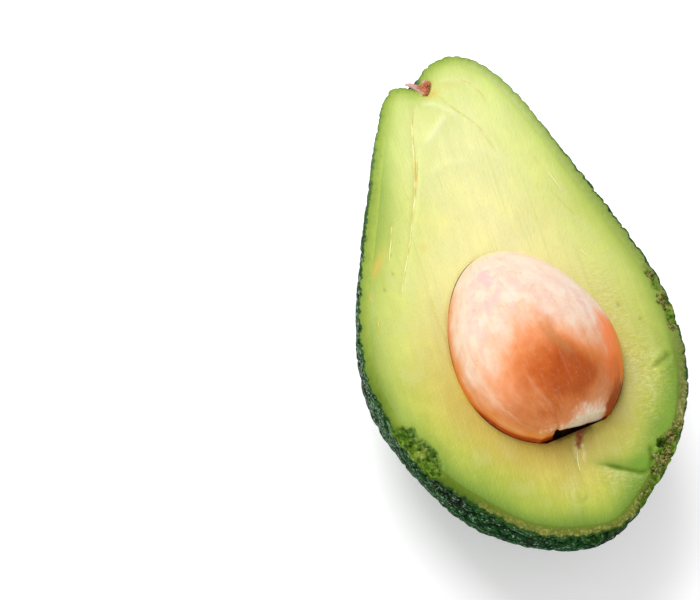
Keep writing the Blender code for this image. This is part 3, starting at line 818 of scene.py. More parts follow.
def seed_finish(seed):
    """The thin mottled coat, its brown patch and orange edges, and the pale skin at the flat end."""
    made = Finish("avocado_seed")
    mask = made.mask
    # Noise that is fine round the seed and long from end to end
    unrolled = made.node("ShaderNodeCombineXYZ", {0: mask("turn") * 66.0, 1: mask("along") * 5.0})
    line = made.noise(unrolled, 4.0, 0.62, 0.3)
    cloud = made.noise((3.6, 4.6, 3.6), 4.0, 0.55)
    mottle = made.noise((2.4, 3.2, 2.4), 3.0, 0.55, 0.25)
    grain = made.noise((0.5, 0.6, 0.5), 3.0, 0.6)
    loose = (mottle - 0.5) * 0.35 + (cloud - 0.5) + (line - 0.5) * 0.35
    warmth = mask("warmth") + loose * 0.40
    coat = made.ramp(warmth, (
        (0.02, seed.coat), (0.15, (0.775, 0.552, 0.405)), (0.28, (0.785, 0.470, 0.305)),
        (0.45, (0.770, 0.335, 0.165)), (0.60, (0.690, 0.225, 0.075)), (0.75, (0.570, 0.145, 0.032)),
        (0.89, (0.480, 0.092, 0.012)), (1.0, seed.stain),
    ))
    fair = warmth.rise(0.55, 0.15)
    pink = (mask("mauve") * 0.80 + 0.16) * mottle.rise(0.38, 0.64) * fair
    white = (mottle + (cloud - 0.5)).rise(0.50, 0.30) * fair
    orange = mask("orange") + loose * 0.40
    band = mask("band") + (line - 0.5) * 0.8
    rust = mask("rust") + (mottle - 0.5) * 0.5
    film = mask("film") + (mottle - 0.5) * 0.6
    near = mask("near_edge")
    bend = made.vector("ADD", made.place((3.2, 4.4, 3.2)), made.noise(2.5, output="Color"))
    vein = made.cells(bend, "DISTANCE_TO_EDGE").rise(0.06, 0.0) * cloud.rise(0.45, 0.65)
    colour = made.layers(
        coat,
        (pink, (0.700, 0.450, 0.425)),
        (white * 0.22, (0.790, 0.690, 0.590)),
        (orange.rise(0.05, 0.80), seed.bare),
        (band.rise(0.02, 0.85, 0.92), (0.860, 0.175, 0.008)),
        (rust.rise(0.06, 0.75), (0.360, 0.035, 0.001)),
        (mask("spine") * mottle.rise(0.30, 0.60), (0.450, 0.200, 0.065)),
        # Lines from end to end, clearest towards the edges, and fine veins in the thin coat
        (line.rise(0.54, 0.70) * near * 0.40, (0.760, 0.330, 0.150)),
        (line.rise(0.47, 0.32) * near * 0.20, (0.800, 0.620, 0.460)),
        (vein * 0.20, (0.480, 0.180, 0.090)),
        (grain.rise(0.56, 0.80, 0.13), (0.800, 0.600, 0.440)),
        (grain.rise(0.44, 0.22, 0.16), (0.400, 0.130, 0.045)),
        (film.rise(0.15, 0.85, 0.9), (0.750, 0.630, 0.380)))
    # Towards the lower end the coat is brighter and paler: partly painted light, partly a paler tone of the
    # coat
    colour = made.mix(mask("low"), colour, (1.12, 1.48, 2.05), "MULTIPLY")
    # The pale skin at the flat end frays out upwards and is tan and pink along its hem
    lip = mask("lip")
    fibre = made.noise((0.50, 2.6, 0.9), 3.0, 0.6, turn=-58)
    frayed = (fibre - 0.5) + (mottle - 0.5) * 1.2 + (grain - 0.5) * 0.15
    frayed = lip + frayed * lip.rise(0.0, 0.25)
    skin = made.layers(
        seed.lip, (fibre.rise(0.52, 0.30, 0.35), (0.690, 0.430, 0.290)), (mask("hem"), (0.700, 0.430, 0.270)))
    shadow = made.mix(mottle.rise(0.42, 0.62), (0.050, 0.028, 0.008), (0.210, 0.090, 0.024))
    colour = made.layers(colour, (frayed.rise(0.04, 0.94), skin), (mask("gap"), shadow))
    normal = made.bump(line + mottle - vein * 0.4, 0.10 * MM, 0.5)
    return made.surface(
        Base_Color=colour, Roughness=grain.rise(0.3, 0.7, 0.50, 0.34), Specular_IOR_Level=0.14, Normal=normal,
        Subsurface_Weight=0.10, Subsurface_Radius=(1.0, 0.45, 0.2), Subsurface_Scale=1.0 * MM)


def stub_finish(stub):
    """Split wood, dry at its torn end."""
    made = Finish("avocado_stub")
    grain = made.noise((0.35, 1.3, 0.5), 4.0, 0.65, turn=-50)
    colour = made.layers(
        made.mix(grain.rise(0.40, 0.60), (0.240, 0.040, 0.018), stub.wood),
        (made.noise(0.5, 3.0).rise(0.50, 0.66, 0.4), (0.700, 0.360, 0.150)), (made.mask("dry"), stub.dry))
    normal = made.bump(grain, 0.3 * MM, 0.9)
    return made.surface(Base_Color=colour, Roughness=0.7, Specular_IOR_Level=0.2, Normal=normal)


class Growth(Nodes):
    """A tree of Geometry Nodes with named inputs, grown once on a mesh and turned into a plain mesh."""

    def __init__(self, name):
        super().__init__(bpy.data.node_groups.new(name, "GeometryNodeTree"))
        self.tree.is_modifier = True
        self.tree.interface.new_socket("Geometry", in_out="INPUT", socket_type="NodeSocketGeometry")
        self.tree.interface.new_socket("Geometry", in_out="OUTPUT", socket_type="NodeSocketGeometry")
        self.start = self.tree.nodes.new("NodeGroupInput")
        self.end = self.tree.nodes.new("NodeGroupOutput")
        self.base = self.start.outputs[0]
        self.values = {}

    def input(self, name, value, kind="NodeSocketFloat"):
        """A named input of the tree, whose value is set on the modifier."""
        socket = self.tree.interface.new_socket(name, in_out="INPUT", socket_type=kind)
        self.values[socket.identifier] = value
        return self.start.outputs[name]

    def random(self, low, high, seed):
        """A random vector between low and high for each point."""
        inputs = {0: low, 1: high, "Seed": seed}
        return self.node("FunctionNodeRandomValue", inputs, data_type="FLOAT_VECTOR")

    def grow(self, geometry, points, faces, edges, finish, masks):
        """Runs the tree on the given points and returns what it makes as a plain mesh."""
        base = bpy.data.meshes.new(self.tree.name)
        base.from_pydata((np.asarray(points) + FACE_MIDDLE).tolist(), edges, faces)
        set_masks(base, masks)
        real = self.node("GeometryNodeRealizeInstances", {"Geometry": geometry})
        dressed = self.node("GeometryNodeSetMaterial", {"Geometry": real, "Material": finish})
        self.link(dressed, self.end.inputs[0])
        carrier = bpy.data.objects.new(self.tree.name, base)
        bpy.context.scene.collection.objects.link(carrier)
        modifier = carrier.modifiers.new(self.tree.name, "NODES")
        modifier.node_group = self.tree
        for key, value in self.values.items():
            modifier[key] = value
        depsgraph = bpy.context.evaluated_depsgraph_get()
        mesh = bpy.data.meshes.new_from_object(carrier.evaluated_get(depsgraph), depsgraph=depsgraph)
        bpy.data.objects.remove(carrier)
        if not mesh.polygons:
            raise RuntimeError(self.tree.name + " grew nothing")
        mesh.shade_smooth()
        return mesh


def distance_to_path(points, path):
    """Distance of each point to a line through the path's points, and how far along it, from 0 to 1."""
    path = np.asarray(path, float)
    lengths = np.linalg.norm(np.diff(path, axis=0), axis=1)
    starts = np.concatenate([[0.0], np.cumsum(lengths)])
    best = np.full(len(points), np.inf)
    along = np.zeros(len(points))
    for i, length in enumerate(lengths):
        way = (path[i + 1] - path[i]) / length
        share = np.clip((points - path[i]) @ way, 0.0, length)
        gap = np.linalg.norm(points - path[i] - share[:, None] * way, axis=1)
        nearer = gap < best
        best[nearer] = gap[nearer]
        along[nearer] = (starts[i] + share[nearer]) / starts[-1]
    return best, along


def oval_spots(points, table):
    """A sum of soft oval spots, each from its weight, its middle, its half axes and its turn in degrees."""
    total = np.zeros(len(points))
    for weight, x, y, wide, long, turn in table:
        away_x, away_y = points[:, 0] - x, points[:, 1] - y
        c, s = math.cos(math.radians(turn)), math.sin(math.radians(turn))
        u, v = (away_x * c + away_y * s) / wide, (away_y * c - away_x * s) / long
        total += weight * np.exp(-(u * u + v * v))
    return total


def flesh_marks(place):
    """Relief and colour masks of the cut face, from places on it in millimetres."""
    solid = np.column_stack([place, np.zeros(len(place))])
    rough = ripple(solid, 0.9, 5.0, 3)
    coarse = ripple(solid, 2.6, 9.0, 2)
    height = 0.09 * ripple(solid, np.array([7.0, 16.0, 7.0]), 2.0) + 0.02 * coarse
    ochre_shade, fuzz, pale, shade, green, stain = (oval_spots(place, table) for table in FLESH_SPOTS.values())

    for path, width, weight in RIDGES:
        gap, along = distance_to_path(place, path)
        line = soft(gap, width) * smooth_step(along, 0.0, 0.15) * smooth_step(along, 1.0, 0.7)
        pale += weight * line
        height += 0.12 * line

    # A furrow along each strand, with a painted shadow line in ochre beside it
    for path, width in STRANDS:
        gap, _ = distance_to_path(place, path)
        height -= 0.10 * soft(gap, 2.2 * width)
        ochre_shade += 0.08 * soft(gap, 2.0 * width) * (0.7 + 0.6 * coarse)

    # The fold that runs to the rim at the lower right, with a raised lip below it; the fold is darkened with
    # painted shade, and the lip lightened with a painted highlight
    gap, along = distance_to_path(
        place, ((6.2, -40.5), (8.7, -41.5), (10.9, -42.6), (13.2, -43.7), (15.2, -44.7), (18.4, -45.2)))
    deep = smooth_step(along, 0.0, 0.35)
    above = smooth_step(place[:, 1] + 40.2 + 0.42 * (place[:, 0] - 6.0), -0.4, 0.6)
    fold = soft(gap + 0.12 * coarse, 0.26 + 0.22 * deep) * deep
    height += (0.22 - 0.20 * above) * soft(gap - 1.3, 1.1) * deep - 0.45 * fold
    shade += 0.95 * fold + 0.36 * soft(gap, 2.2) * deep * (0.25 + 0.75 * above)
    pale += 0.08 * soft(gap - 1.2, 0.8) * deep * (1 - above)

    # A small torn dent at the right, and soft fuzz
    gap, along = distance_to_path(place, ((28.9, -21.8), (27.2, -22.8), (25.6, -23.3), (24.1, -23.7)))
    dent = soft(gap + 0.3 * coarse, 0.75 - 0.3 * along) * smooth_step(along, 1.0, 0.6)
    height += 0.25 * soft(gap - 1.3, 0.9) * smooth_step(along, 1.0, 0.3) - 0.45 * dent
    shade += 0.42 * dent
    pale += 0.12 * smooth_step(fuzz * (0.7 + 0.9 * rough), 0.3, 1.1)
    height += 0.06 * fuzz * rough

    # The rim torn open at the lower left and broken along the right, and a furrow and a hole beside it
    torn = np.zeros(len(place))
    for path, stations, widths in BROKEN_RIMS:
        gap, along = distance_to_path(place, path)
        wide = np.interp(along, stations, widths)
        torn = np.maximum(torn, smooth_step(gap + 1.2 * coarse + 0.4 * rough, wide, wide - 0.9))
    height -= torn * (0.75 + 0.9 * rough + 0.4 * coarse)
    gap, _ = distance_to_path(place, ((18.9, -40.4), (18.6, -42.4), (17.6, -44.4)))
    height -= 0.5 * soft(gap, 0.6)
    shade += 0.9 * soft(gap, 0.6)
    hole = np.linalg.norm(place - np.array([21.5, -39.7]), axis=1) + 0.4 * rough
    height -= 2.4 * smooth_step(hole, 1.35, 0.6)

    # The brown vein below the seed and the strands that split from it
    gap, along = distance_to_path(place, ((6.0, -33.2), (5.5, -34.2), (5.0, -35.2), (4.4, -36.4)))
    bruise = smooth_step(gap + 0.6 * rough, 1.35 - 0.5 * along, 0.45 - 0.2 * along)
    bruise *= np.clip(0.9 + 1.2 * rough, 0.0, 1.0)
    height -= 0.15 * bruise
    for path, width in (
        (((4.4, -35.6), (3.6, -37.3), (3.0, -40.4)), 0.45),
        (((5.4, -36.0), (5.2, -38.0), (4.2, -40.6)), 0.35),
    ):
        gap, along = distance_to_path(place, path)
        strand = soft(gap, width) * smooth_step(along, 1.0, 0.6)
        pale += 0.45 * strand * (0.6 + 0.8 * rough)
        height += 0.10 * strand
    gap, _ = distance_to_path(place, ((2.6, -36.4), (3.0, -38.6), (2.8, -40.0)))
    shade += 0.45 * soft(gap, 0.35) * (0.5 + rough)

    # Painted shadow: dark brown on the flesh at the edge of the hollow below the seed's flat end, where the
    # seed shades it
    gap, along = distance_to_path(
        place, ((-0.6, -33.9), (1.3, -33.8), (3.9, -33.3), (6.5, -33.0), (9.4, -32.4)))
    hollow_shadow = 0.82 * smooth_step(gap + 0.25 * rough, 1.5 + 0.9 * along, -0.3)
    hollow_shadow *= smooth_step(along, 0.0, 0.15) * smooth_step(along, 1.0, 0.85)

    # Faint rings round a point below the seed
    away = np.hypot(place[:, 0] - 1.4, place[:, 1] + 46.4) + 0.5 * coarse
    rings = np.cos(away * 5.6) * soft(away, 2.8)
    height += 0.05 * rings
    pale += 0.10 * np.clip(rings, 0.0, 1.0)

    masks = {
        "pale": pale, "shade": shade, "torn": torn, "stain": stain, "bruise": bruise,
        "fuzz": fuzz, "green": green, "ochre_shade": ochre_shade, "hollow_shadow": hollow_shadow,
    }
    return height, {key: np.clip(value, 0.0, 1.0) for key, value in masks.items()}


def add_fan(faces, loop, tip, flip=False):
    """Triangles from a closed loop of point numbers to one point."""
    for a, b in zip(loop, np.roll(loop, -1)):
        faces.append((b, a, tip) if flip else (a, b, tip))


def joined_rows(loop, first, rows, columns, tip, flip=False):
    """Faces from a loop of point numbers down through rows of as many points to one last point."""
    numbers = [loop, *(first + i * columns + np.arange(columns) for i in range(rows))]
    faces = []
    for upper, lower in zip(numbers, numbers[1:]):
        quad = np.stack([upper, np.roll(upper, -1), np.roll(lower, -1), lower], axis=1)
        faces += (quad[:, ::-1] if flip else quad).tolist()
    add_fan(faces, numbers[-1], tip, flip)
    return faces


def inside_loop(points, loop):
    """Which points lie inside a closed loop, and each one's distance to it."""
    inside = np.zeros(len(points), bool)
    distance = np.full(len(points), np.inf)
    for a, b in zip(loop, np.roll(loop, -1, axis=0)):
        crosses = (a[1] > points[:, 1]) != (b[1] > points[:, 1])
        with np.errstate(divide="ignore", invalid="ignore"):
            at = (b[0] - a[0]) * (points[:, 1] - a[1]) / (b[1] - a[1]) + a[0]
        inside ^= crosses & (points[:, 0] < at)
        way = b - a
        share = np.clip(((points - a) @ way) / (way @ way), 0.0, 1.0)
        gap = points - a - share[:, None] * way
        np.minimum(distance, (gap * gap).sum(axis=1), out=distance)
    return inside, np.sqrt(distance)


def make_peel(settings):
    """The pebbled outside down to the resting spot, the cut edge, and the lining against the flesh."""
    fruit, peel = Fruit(settings.avocado_fruit), settings.avocado_peel
    directions, quads = ball_quads(PEEL_FACETS, lower_half=True)
    smooth = fruit.surface(directions)
    out = outward(smooth, quads)
    below = -smooth[:, 2] / MM
    out[:, 2] *= smooth_step(below, 0.0, 3.0)
    out /= np.linalg.norm(out, axis=1)[:, None]
    relief, pebble = peel_relief(fruit, peel, smooth)
    outside = smooth + out * relief[:, None]
    sunk, marks = flesh_marks(outside[:, :2] / MM)
    torn = [marks["torn"] * smooth_step(below, 2.8, 0.3)]
    outside[:, 2] = np.maximum(outside[:, 2] + sunk * torn[0] * MM, -fruit.sizes.rest_height)

    rim = np.flatnonzero(directions[:, 2] == 0.0)
    rim = rim[np.argsort(np.arctan2(directions[rim, 1], directions[rim, 0]) % (2 * math.pi))]
    count = len(rim)
    outer = outside[rim]
    inner, around = fruit.rim(count, peel.thickness)
    shares = (0.97, 0.86, 0.66, 0.44, 0.22, 0.0)
    rows = []
    for share, drop in zip(shares, (0.0, 0.04, 0.03, 0.02, 0.0, 0.0)):
        row = inner + (outer - inner) * share
        sunk, marks = flesh_marks(row[:, :2] / MM)
        torn.append(marks["torn"])
        row[:, 2] = (drop * (1 + ripple(row, 1.1 * MM, 4.0)) - 0.02 + sunk * marks["torn"]) * MM
        rows.append(row)
    lining, lowest = fruit.lining(around, peel.thickness)
    rows += lining
    points = np.concatenate([outside, *rows, lowest])
    first, spare = len(outside), len(points) - len(outside)
    faces = quads.tolist() + joined_rows(rim, first, len(rows), count, len(points) - 1)

    hidden = np.zeros(spare - len(shares) * count)
    across = np.concatenate([np.ones(first), np.repeat(shares, count), hidden])
    place = points / MM
    x, y = place[:, 0], place[:, 1]
    olive = smooth_step(-y + 1.1 * x + 6 * ripple(points, 6 * MM), 12.0, 40.0)
    olive *= 1 - 0.65 * smooth_step(x, 20.0, 30.0) * smooth_step(y, -36.0, -22.0)
    masks = {
        "pebble": np.concatenate([pebble, np.ones(spare)]),
        "below": np.concatenate([below, np.zeros(spare)]),
        "cut": np.concatenate([np.zeros(first), np.ones(spare)]),
        "torn": np.concatenate([*torn, hidden]),
        "rim": (1 - across) * peel.thickness / MM,
        "olive": olive,
        "left": smooth_step(-x, 8.0, 20.0) * smooth_step(y, 30.0, 14.0) * smooth_step(y, -32.0, -16.0),
        "right": smooth_step(x, 4.0, 12.0) * smooth_step(y, -42.0, -30.0),
        **cut_stages(place),
    }
    mesh = plain_mesh("peel", points, faces, peel_finish(peel, settings.avocado_flesh), masks, 60)
    add_piece("avocado_peel", mesh, "peel", "peel")


def make_flesh(settings):
    """The cut face with its marks, the hollow for the seed, and the outer wall inside the peel."""
    fruit, flesh, egg = Fruit(settings.avocado_fruit), settings.avocado_flesh, Egg(settings.avocado_seed)
    inset = settings.avocado_peel.thickness
    border, around = fruit.rim(BORDER_POINTS, inset - 0.02 * MM)
    angle, tilt = egg.edge(HOLLOW_POINTS, HOLLOW_GAP)

    def hollow_row(share):
        level = np.sin(tilt * share)
        directions = np.stack([np.cos(angle) * level, np.sin(angle) * level, -np.cos(tilt * share)], axis=1)
        return egg.surface(directions, HOLLOW_GAP, hollow=True)

    edge = hollow_row(1.0)
    grid = np.array([
        (x + (flesh.grid / 2 if i % 2 else 0.0), y)
        for i, y in enumerate(np.arange(-60 * MM, 60 * MM, flesh.grid * math.sqrt(3) / 2))
        for x in np.arange(-36 * MM, 36 * MM, flesh.grid)
    ])
    in_border, to_border = inside_loop(grid, border[:, :2])
    in_edge, to_edge = inside_loop(grid, edge[:, :2])
    grid = grid[in_border & ~in_edge & (to_border > 0.6 * flesh.grid) & (to_edge > 0.5 * flesh.grid)]
    flat = np.concatenate([border[:, :2], edge[:, :2], grid]) / MM
    loops = [np.arange(BORDER_POINTS), BORDER_POINTS + np.arange(HOLLOW_POINTS)]
    edges = [pair for loop in loops for pair in zip(loop.tolist(), np.roll(loop, -1).tolist())]
    found = geometry.delaunay_2d_cdt([Vector(p) for p in flat], edges, [], 0, 1e-6, False)
    flat = np.array([tuple(p) for p in found[0]])
    faces = np.array([f for f in found[2] if len(f) == 3])
    middles = flat[faces].mean(axis=1) * MM
    faces = faces[inside_loop(middles, border[:, :2])[0] & ~inside_loop(middles, edge[:, :2])[0]]
    a, b, c = (flat[faces[:, i]] for i in range(3))
    turned = (b[:, 0] - a[:, 0]) * (c[:, 1] - a[:, 1]) - (b[:, 1] - a[:, 1]) * (c[:, 0] - a[:, 0]) < 0
    faces[turned] = faces[turned][:, ::-1]

    rim = inside_loop(flat * MM, border[:, :2])[1] / MM
    pit = inside_loop(flat * MM, edge[:, :2])[1] / MM
    height, masks = flesh_marks(flat)
    height = height * np.maximum(smooth_step(rim, 0.0, 0.8), masks["torn"]) * smooth_step(pit, -0.2, 0.8)
    height -= 0.15 * (1 - smooth_step(pit, 0.0, 0.7))
    stub = settings.avocado_stub
    near_stub = np.linalg.norm(flat - np.array([stub.across, stub.along]) / MM, axis=1)
    height -= 0.6 * (1 - smooth_step(near_stub, 1.5, 2.3))

    hollow = [hollow_row(share) for share in np.linspace(1.0, 0.0, 26)[1:-1]]
    deepest = egg.surface([-UP], HOLLOW_GAP, hollow=True)
    wall, lowest = fruit.lining(around, inset + LINING_GAP)
    points = np.concatenate([np.column_stack([flat, height]) * MM, *hollow, deepest, *wall, lowest])
    tip = len(flat) + len(hollow) * HOLLOW_POINTS
    faces = faces.tolist() + joined_rows(loops[1], len(flat), len(hollow), HOLLOW_POINTS, tip)
    faces += joined_rows(loops[0], tip + 1, len(wall), BORDER_POINTS, len(points) - 1, flip=True)
    spare = len(points) - len(flat)
    masks = {key: np.concatenate([value, np.zeros(spare)]) for key, value in masks.items()}
    masks["rim"] = np.concatenate([rim + inset / MM, np.full(spare, 14.0)])
    masks.update(cut_stages(points / MM))
    mesh = plain_mesh("flesh", points, faces, flesh_finish(flesh, settings.avocado_seed), masks, 50)
    add_piece("avocado_flesh", mesh, "flesh", "flesh")


def make_seed(settings):
    """The seed with its thin coat, its brown patch, and the pale torn lip over its flat end."""
    egg = Egg(settings.avocado_seed)
    directions, quads = ball_quads(SEED_FACETS, lower_half=False)
    x, y, z = directions.T
    points = egg.surface(directions)
    out = outward(points, quads)
    place = egg.local(points) / MM
    base = -settings.avocado_seed.base
    lump = 0.16 * ripple(place, np.array([5.0, 9.0, 5.0]), 1.0)
    lump += 0.03 * ripple(place, np.array([1.6, 12.0, 1.6]), 6.0)
    points = points + out * (lump * MM)[:, None]

    # Over the flat end hangs a pale lip, right of a notch; left of it the end is rounded off
    fray = ripple(place, 2.2, 8.0, 3)
    on_base = smooth_step(y, base + 0.012, base - 0.012)
    hollowed = 1 - np.clip((x * x + z * z) / (1 - base**2), 0.0, 1.0)
    right = smooth_step(x + 0.012 * fray, -0.250, -0.205)
    hem = 2.2 - 9.0 * x + 0.35 * fray
    flap = on_base * smooth_step(place[:, 2], hem - 0.3, hem + 0.2) * right
    push = (0.45 + 1.2 * hollowed) * flap + (0.25 + 1.2 * hollowed) * on_base * (1 - right) * (z > -0.1)
    push -= 0.35 * soft(x + 0.235, 0.022) * smooth_step(-y, 0.86, 0.91) * (z > 0)
    points = points + (push * MM)[:, None] * (egg.turned @ np.array([0.0, -1.0, 0.0]))

    def patches(*table):
        total = 0.0
        for weight, across, along, size in table:
            middle = np.array([across, along, math.sqrt(max(1e-4, 1 - across**2 - along**2))])
            total = total + weight * soft(np.arccos(np.clip(directions @ middle, -1, 1)), size)
        return total

    def trail(width, *path):
        return soft(distance_to_path(directions[:, :2], path)[0], width) * (z > 0)

    reach = 0.52 - 0.08 * smooth_step(-y, 0.1, 0.7) + 0.20 * smooth_step(x, 0.0, 0.7)
    orange = smooth_step(z, reach, -0.06) * (0.76 + 0.24 * smooth_step(-y, -0.4, 0.3))
    rust = smooth_step(z, 0.20, 0.05) * smooth_step(-y, 0.15, 0.6) + patches((0.34, 0.56, -0.70, 0.24))
    rust += 0.85 * trail(0.055, (0.60, -0.79), (0.50, -0.85), (0.36, -0.92))
    rust += 0.35 * trail(0.012, (-0.27, -0.80), (-0.27, -0.87))
    mauve = 0.7 * trail(0.06, (0.56, 0.10), (0.57, -0.12), (0.53, -0.32), (0.42, -0.55))
    band = trail(0.22, (0.82, -0.06), (0.79, -0.32), (0.73, -0.52), (0.64, -0.68))
    smear = smooth_step(y + 0.03 * fray, -0.80 + 0.02 * x, -0.93) * smooth_step(x, -0.22, 0.0) * (z > 0)
    smear = 0.62 * smear * smooth_step(x, 0.36, 0.20) + 0.30 * trail(0.022, (-0.29, -0.90), (-0.42, -0.87))
    hanging = flap * (0.62 + 0.18 * smooth_step(x, -0.22, 0.05)) * smooth_step(x + 0.02 * fray, 0.36, 0.28)
    under = np.maximum(smooth_step(place[:, 2] - hem, 1.3, 0.1), 0.8 * smooth_step(x, 0.20, 0.36))
    masks = {
        "warmth": patches(*SEED_WARMTH),
        "orange": orange * smooth_step(y, 0.92, 0.60) + patches((0.35, 0.46, -0.42, 0.33)),
        "band": band * smooth_step(-y, -0.08, 0.34),
        "rust": rust,
        "spine": 0.60 * trail(0.10, (-0.04, -0.12), (-0.01, -0.24), (0.06, -0.35)),
        "mauve": patches(*SEED_MAUVE) + mauve,
        "film": smooth_step(y + 0.05 * fray + 0.04 * np.cos(5.5 * (x - 0.05)), 0.84, 0.99),
        "lip": np.maximum(hanging, smear),
        "hem": flap * under,
        "gap": on_base * (1 - flap) * right * (z > -0.3) * smooth_step(hollowed, 0.0, 0.28),
        "low": smooth_step(-y, 0.38, 0.82) * smooth_step(x, 0.48, 0.18),
        "near_edge": (0.20 + 0.80 * smooth_step(z, 0.80, 0.35)) * smooth_step(y, -0.92, -0.55),
        "turn": np.arctan2(x, z) / (2 * math.pi) + 0.5,
        "along": (y + 1) / 2,
    }
    masks = {key: np.clip(value, 0.0, 1.0) for key, value in masks.items()}
    mesh = plain_mesh("seed", points, quads, seed_finish(settings.avocado_seed), masks, 50)
    add_piece("avocado_seed", mesh, "seed", "seed")


def make_stub(settings):
    """The split stub of the stalk: half a ragged plug, its fibres torn at the dry end."""
    stub = settings.avocado_stub
    below, above, rows = 20, 18, 34
    sections = np.linspace(0.0, 1.0, rows)
    shares = np.interp(sections, (0.0, 0.36, 0.72, 0.86, 1.0), (0.22, 0.66, 1.0, 1.05, 0.9))
    points = []
    for section, radius in zip(sections, stub.radius * shares):
        y = -stub.root + (stub.root + stub.tip) * section
        lower = [math.pi * i / (below - 1) for i in range(below)]
        ring = [(radius * math.cos(a), -radius * math.sin(a)) for a in lower]
        ring += [(-radius + 2 * radius * (i + 1) / (above + 1), 0.0) for i in range(above)]
        ragged = smooth_step(section, 0.75, 1.0) * stub.tip * 0.9
        points += [(x, y + ragged * noise.noise(Vector((x / MM * 1.9, z / MM, 7.0))), z) for x, z in ring]
    points = np.array(points)
    grain = ripple(points, np.array([0.9, 1.1, 0.9]) * MM, 2.0, 3)
    flat = np.abs(points[:, 2]) < 1e-9
    heap = smooth_step(points[:, 0] / MM, -1.6, 0.6) * smooth_step(points[:, 1] / MM, 0.9, -0.6)
    points[flat, 2] += np.maximum(0.10 + 0.35 * heap[flat] + 0.38 * grain[flat], 0.04) * MM
    sway = [ripple(points, 0.9 * MM, shift) for shift in (5.0, 9.0)]
    points[:, :2] += 0.22 * MM * np.stack(sway, axis=1)
    ring = below + above
    points = np.concatenate([points, [points[:ring].mean(axis=0)], [points[-ring:].mean(axis=0)]])
    faces = joined_rows(np.arange(ring), ring, rows - 1, ring, len(points) - 1, flip=True)
    add_fan(faces, np.arange(ring), len(points) - 2)
    dry = smooth_step(points[:, 0] / MM, -0.4, -1.3) + smooth_step(points[:, 1] / MM, 0.4, 0.9)
    turned = np.array(Matrix.Rotation(stub.turn, 3, "Z"))
    points = points @ turned.T + np.array([stub.across, stub.along, 0.0])

    # A thin dry tongue curls out of the notch, to the left of the plug, which narrows downwards
    tongue = smooth_step(points[:, 0] / MM, -3.5, -4.8)
    points += tongue[:, None] * np.array([-1.25, 1.0, 0.3]) * MM
    points[:, 1:] += (np.array([50.7, 0.35]) * MM - points[:, 1:]) * tongue[:, None] * (0.55, 0.7)
    points[:, 0] += (-2.7 * MM - points[:, 0]) * 0.30 * smooth_step(points[:, 1] / MM, 49.2, 47.4)
    masks = {"dry": np.clip(np.maximum(dry, tongue), 0.0, 1.0)}
    mesh = plain_mesh("stalk_stub", points, faces, stub_finish(stub), masks, 35)
    add_piece("avocado_stalk_stub", mesh, "stalk_stub", "stalk_stub")


def make_strands(settings):
    """Pale strands of the flesh that lie in the cut face."""
    flesh = settings.avocado_flesh
    points, edges, widths = [], [], []
    for number, (path, width) in enumerate(STRANDS):
        path = np.array(path)
        lengths = np.concatenate([[0.0], np.cumsum(np.linalg.norm(np.diff(path, axis=0), axis=1))])
        at = np.linspace(0.0, lengths[-1], max(8, int(lengths[-1] / 0.45)))
        line = np.stack([np.interp(at, lengths, path[:, i]) for i in range(2)], axis=1)
        for _ in range(6):
            line[1:-1] = (line[:-2] + 2 * line[1:-1] + line[2:]) / 4
        sway = np.column_stack([at, np.full(len(at), number * 3.7), np.zeros(len(at))])
        line += 0.14 * np.stack([ripple(sway, 2.2, 1.0), ripple(sway, 2.2, 9.0)], axis=1)
        height = flesh_marks(line)[0]
        ends = np.sin(math.pi * np.clip(at / lengths[-1], 0.02, 0.98)) ** 0.4
        uneven = 1 + 0.35 * ripple(sway, 1.6, 5.0)
        edges += [(i, i + 1) for i in range(len(points), len(points) + len(at) - 1)]
        points += [(x * MM, y * MM, (h - 0.25 * width) * MM) for (x, y), h in zip(line, height)]
        widths += list(width * MM * 0.5 * ends * uneven)
    growth = Growth("strands")
    width = growth.input("Width", flesh.strand_width)
    sides = growth.input("Sides", 7, "NodeSocketInt")
    ring = growth.node("GeometryNodeCurvePrimitiveCircle", {"Resolution": sides, "Radius": 1.0})
    tube = growth.node("GeometryNodeCurveToMesh", {
        "Curve": growth.node("GeometryNodeMeshToCurve", {"Mesh": growth.base}),
        "Profile Curve": ring,
        "Scale": growth.node("GeometryNodeInputNamedAttribute", {"Name": "width"}) * width,
        "Fill Caps": True})
    made = Finish("avocado_strand")
    colour = made.mix(made.noise((1.5, 4.0, 1.5)).rise(0.35, 0.65), flesh.fibre, (0.640, 0.500, 0.110))
    finish = made.surface(
        Base_Color=colour, Roughness=0.45, Specular_IOR_Level=0.3, Subsurface_Weight=0.1,
        Subsurface_Scale=1.0 * MM)
    add_piece("avocado_strands", growth.grow(tube, points, [], edges, finish, {"width": widths}), "flesh")


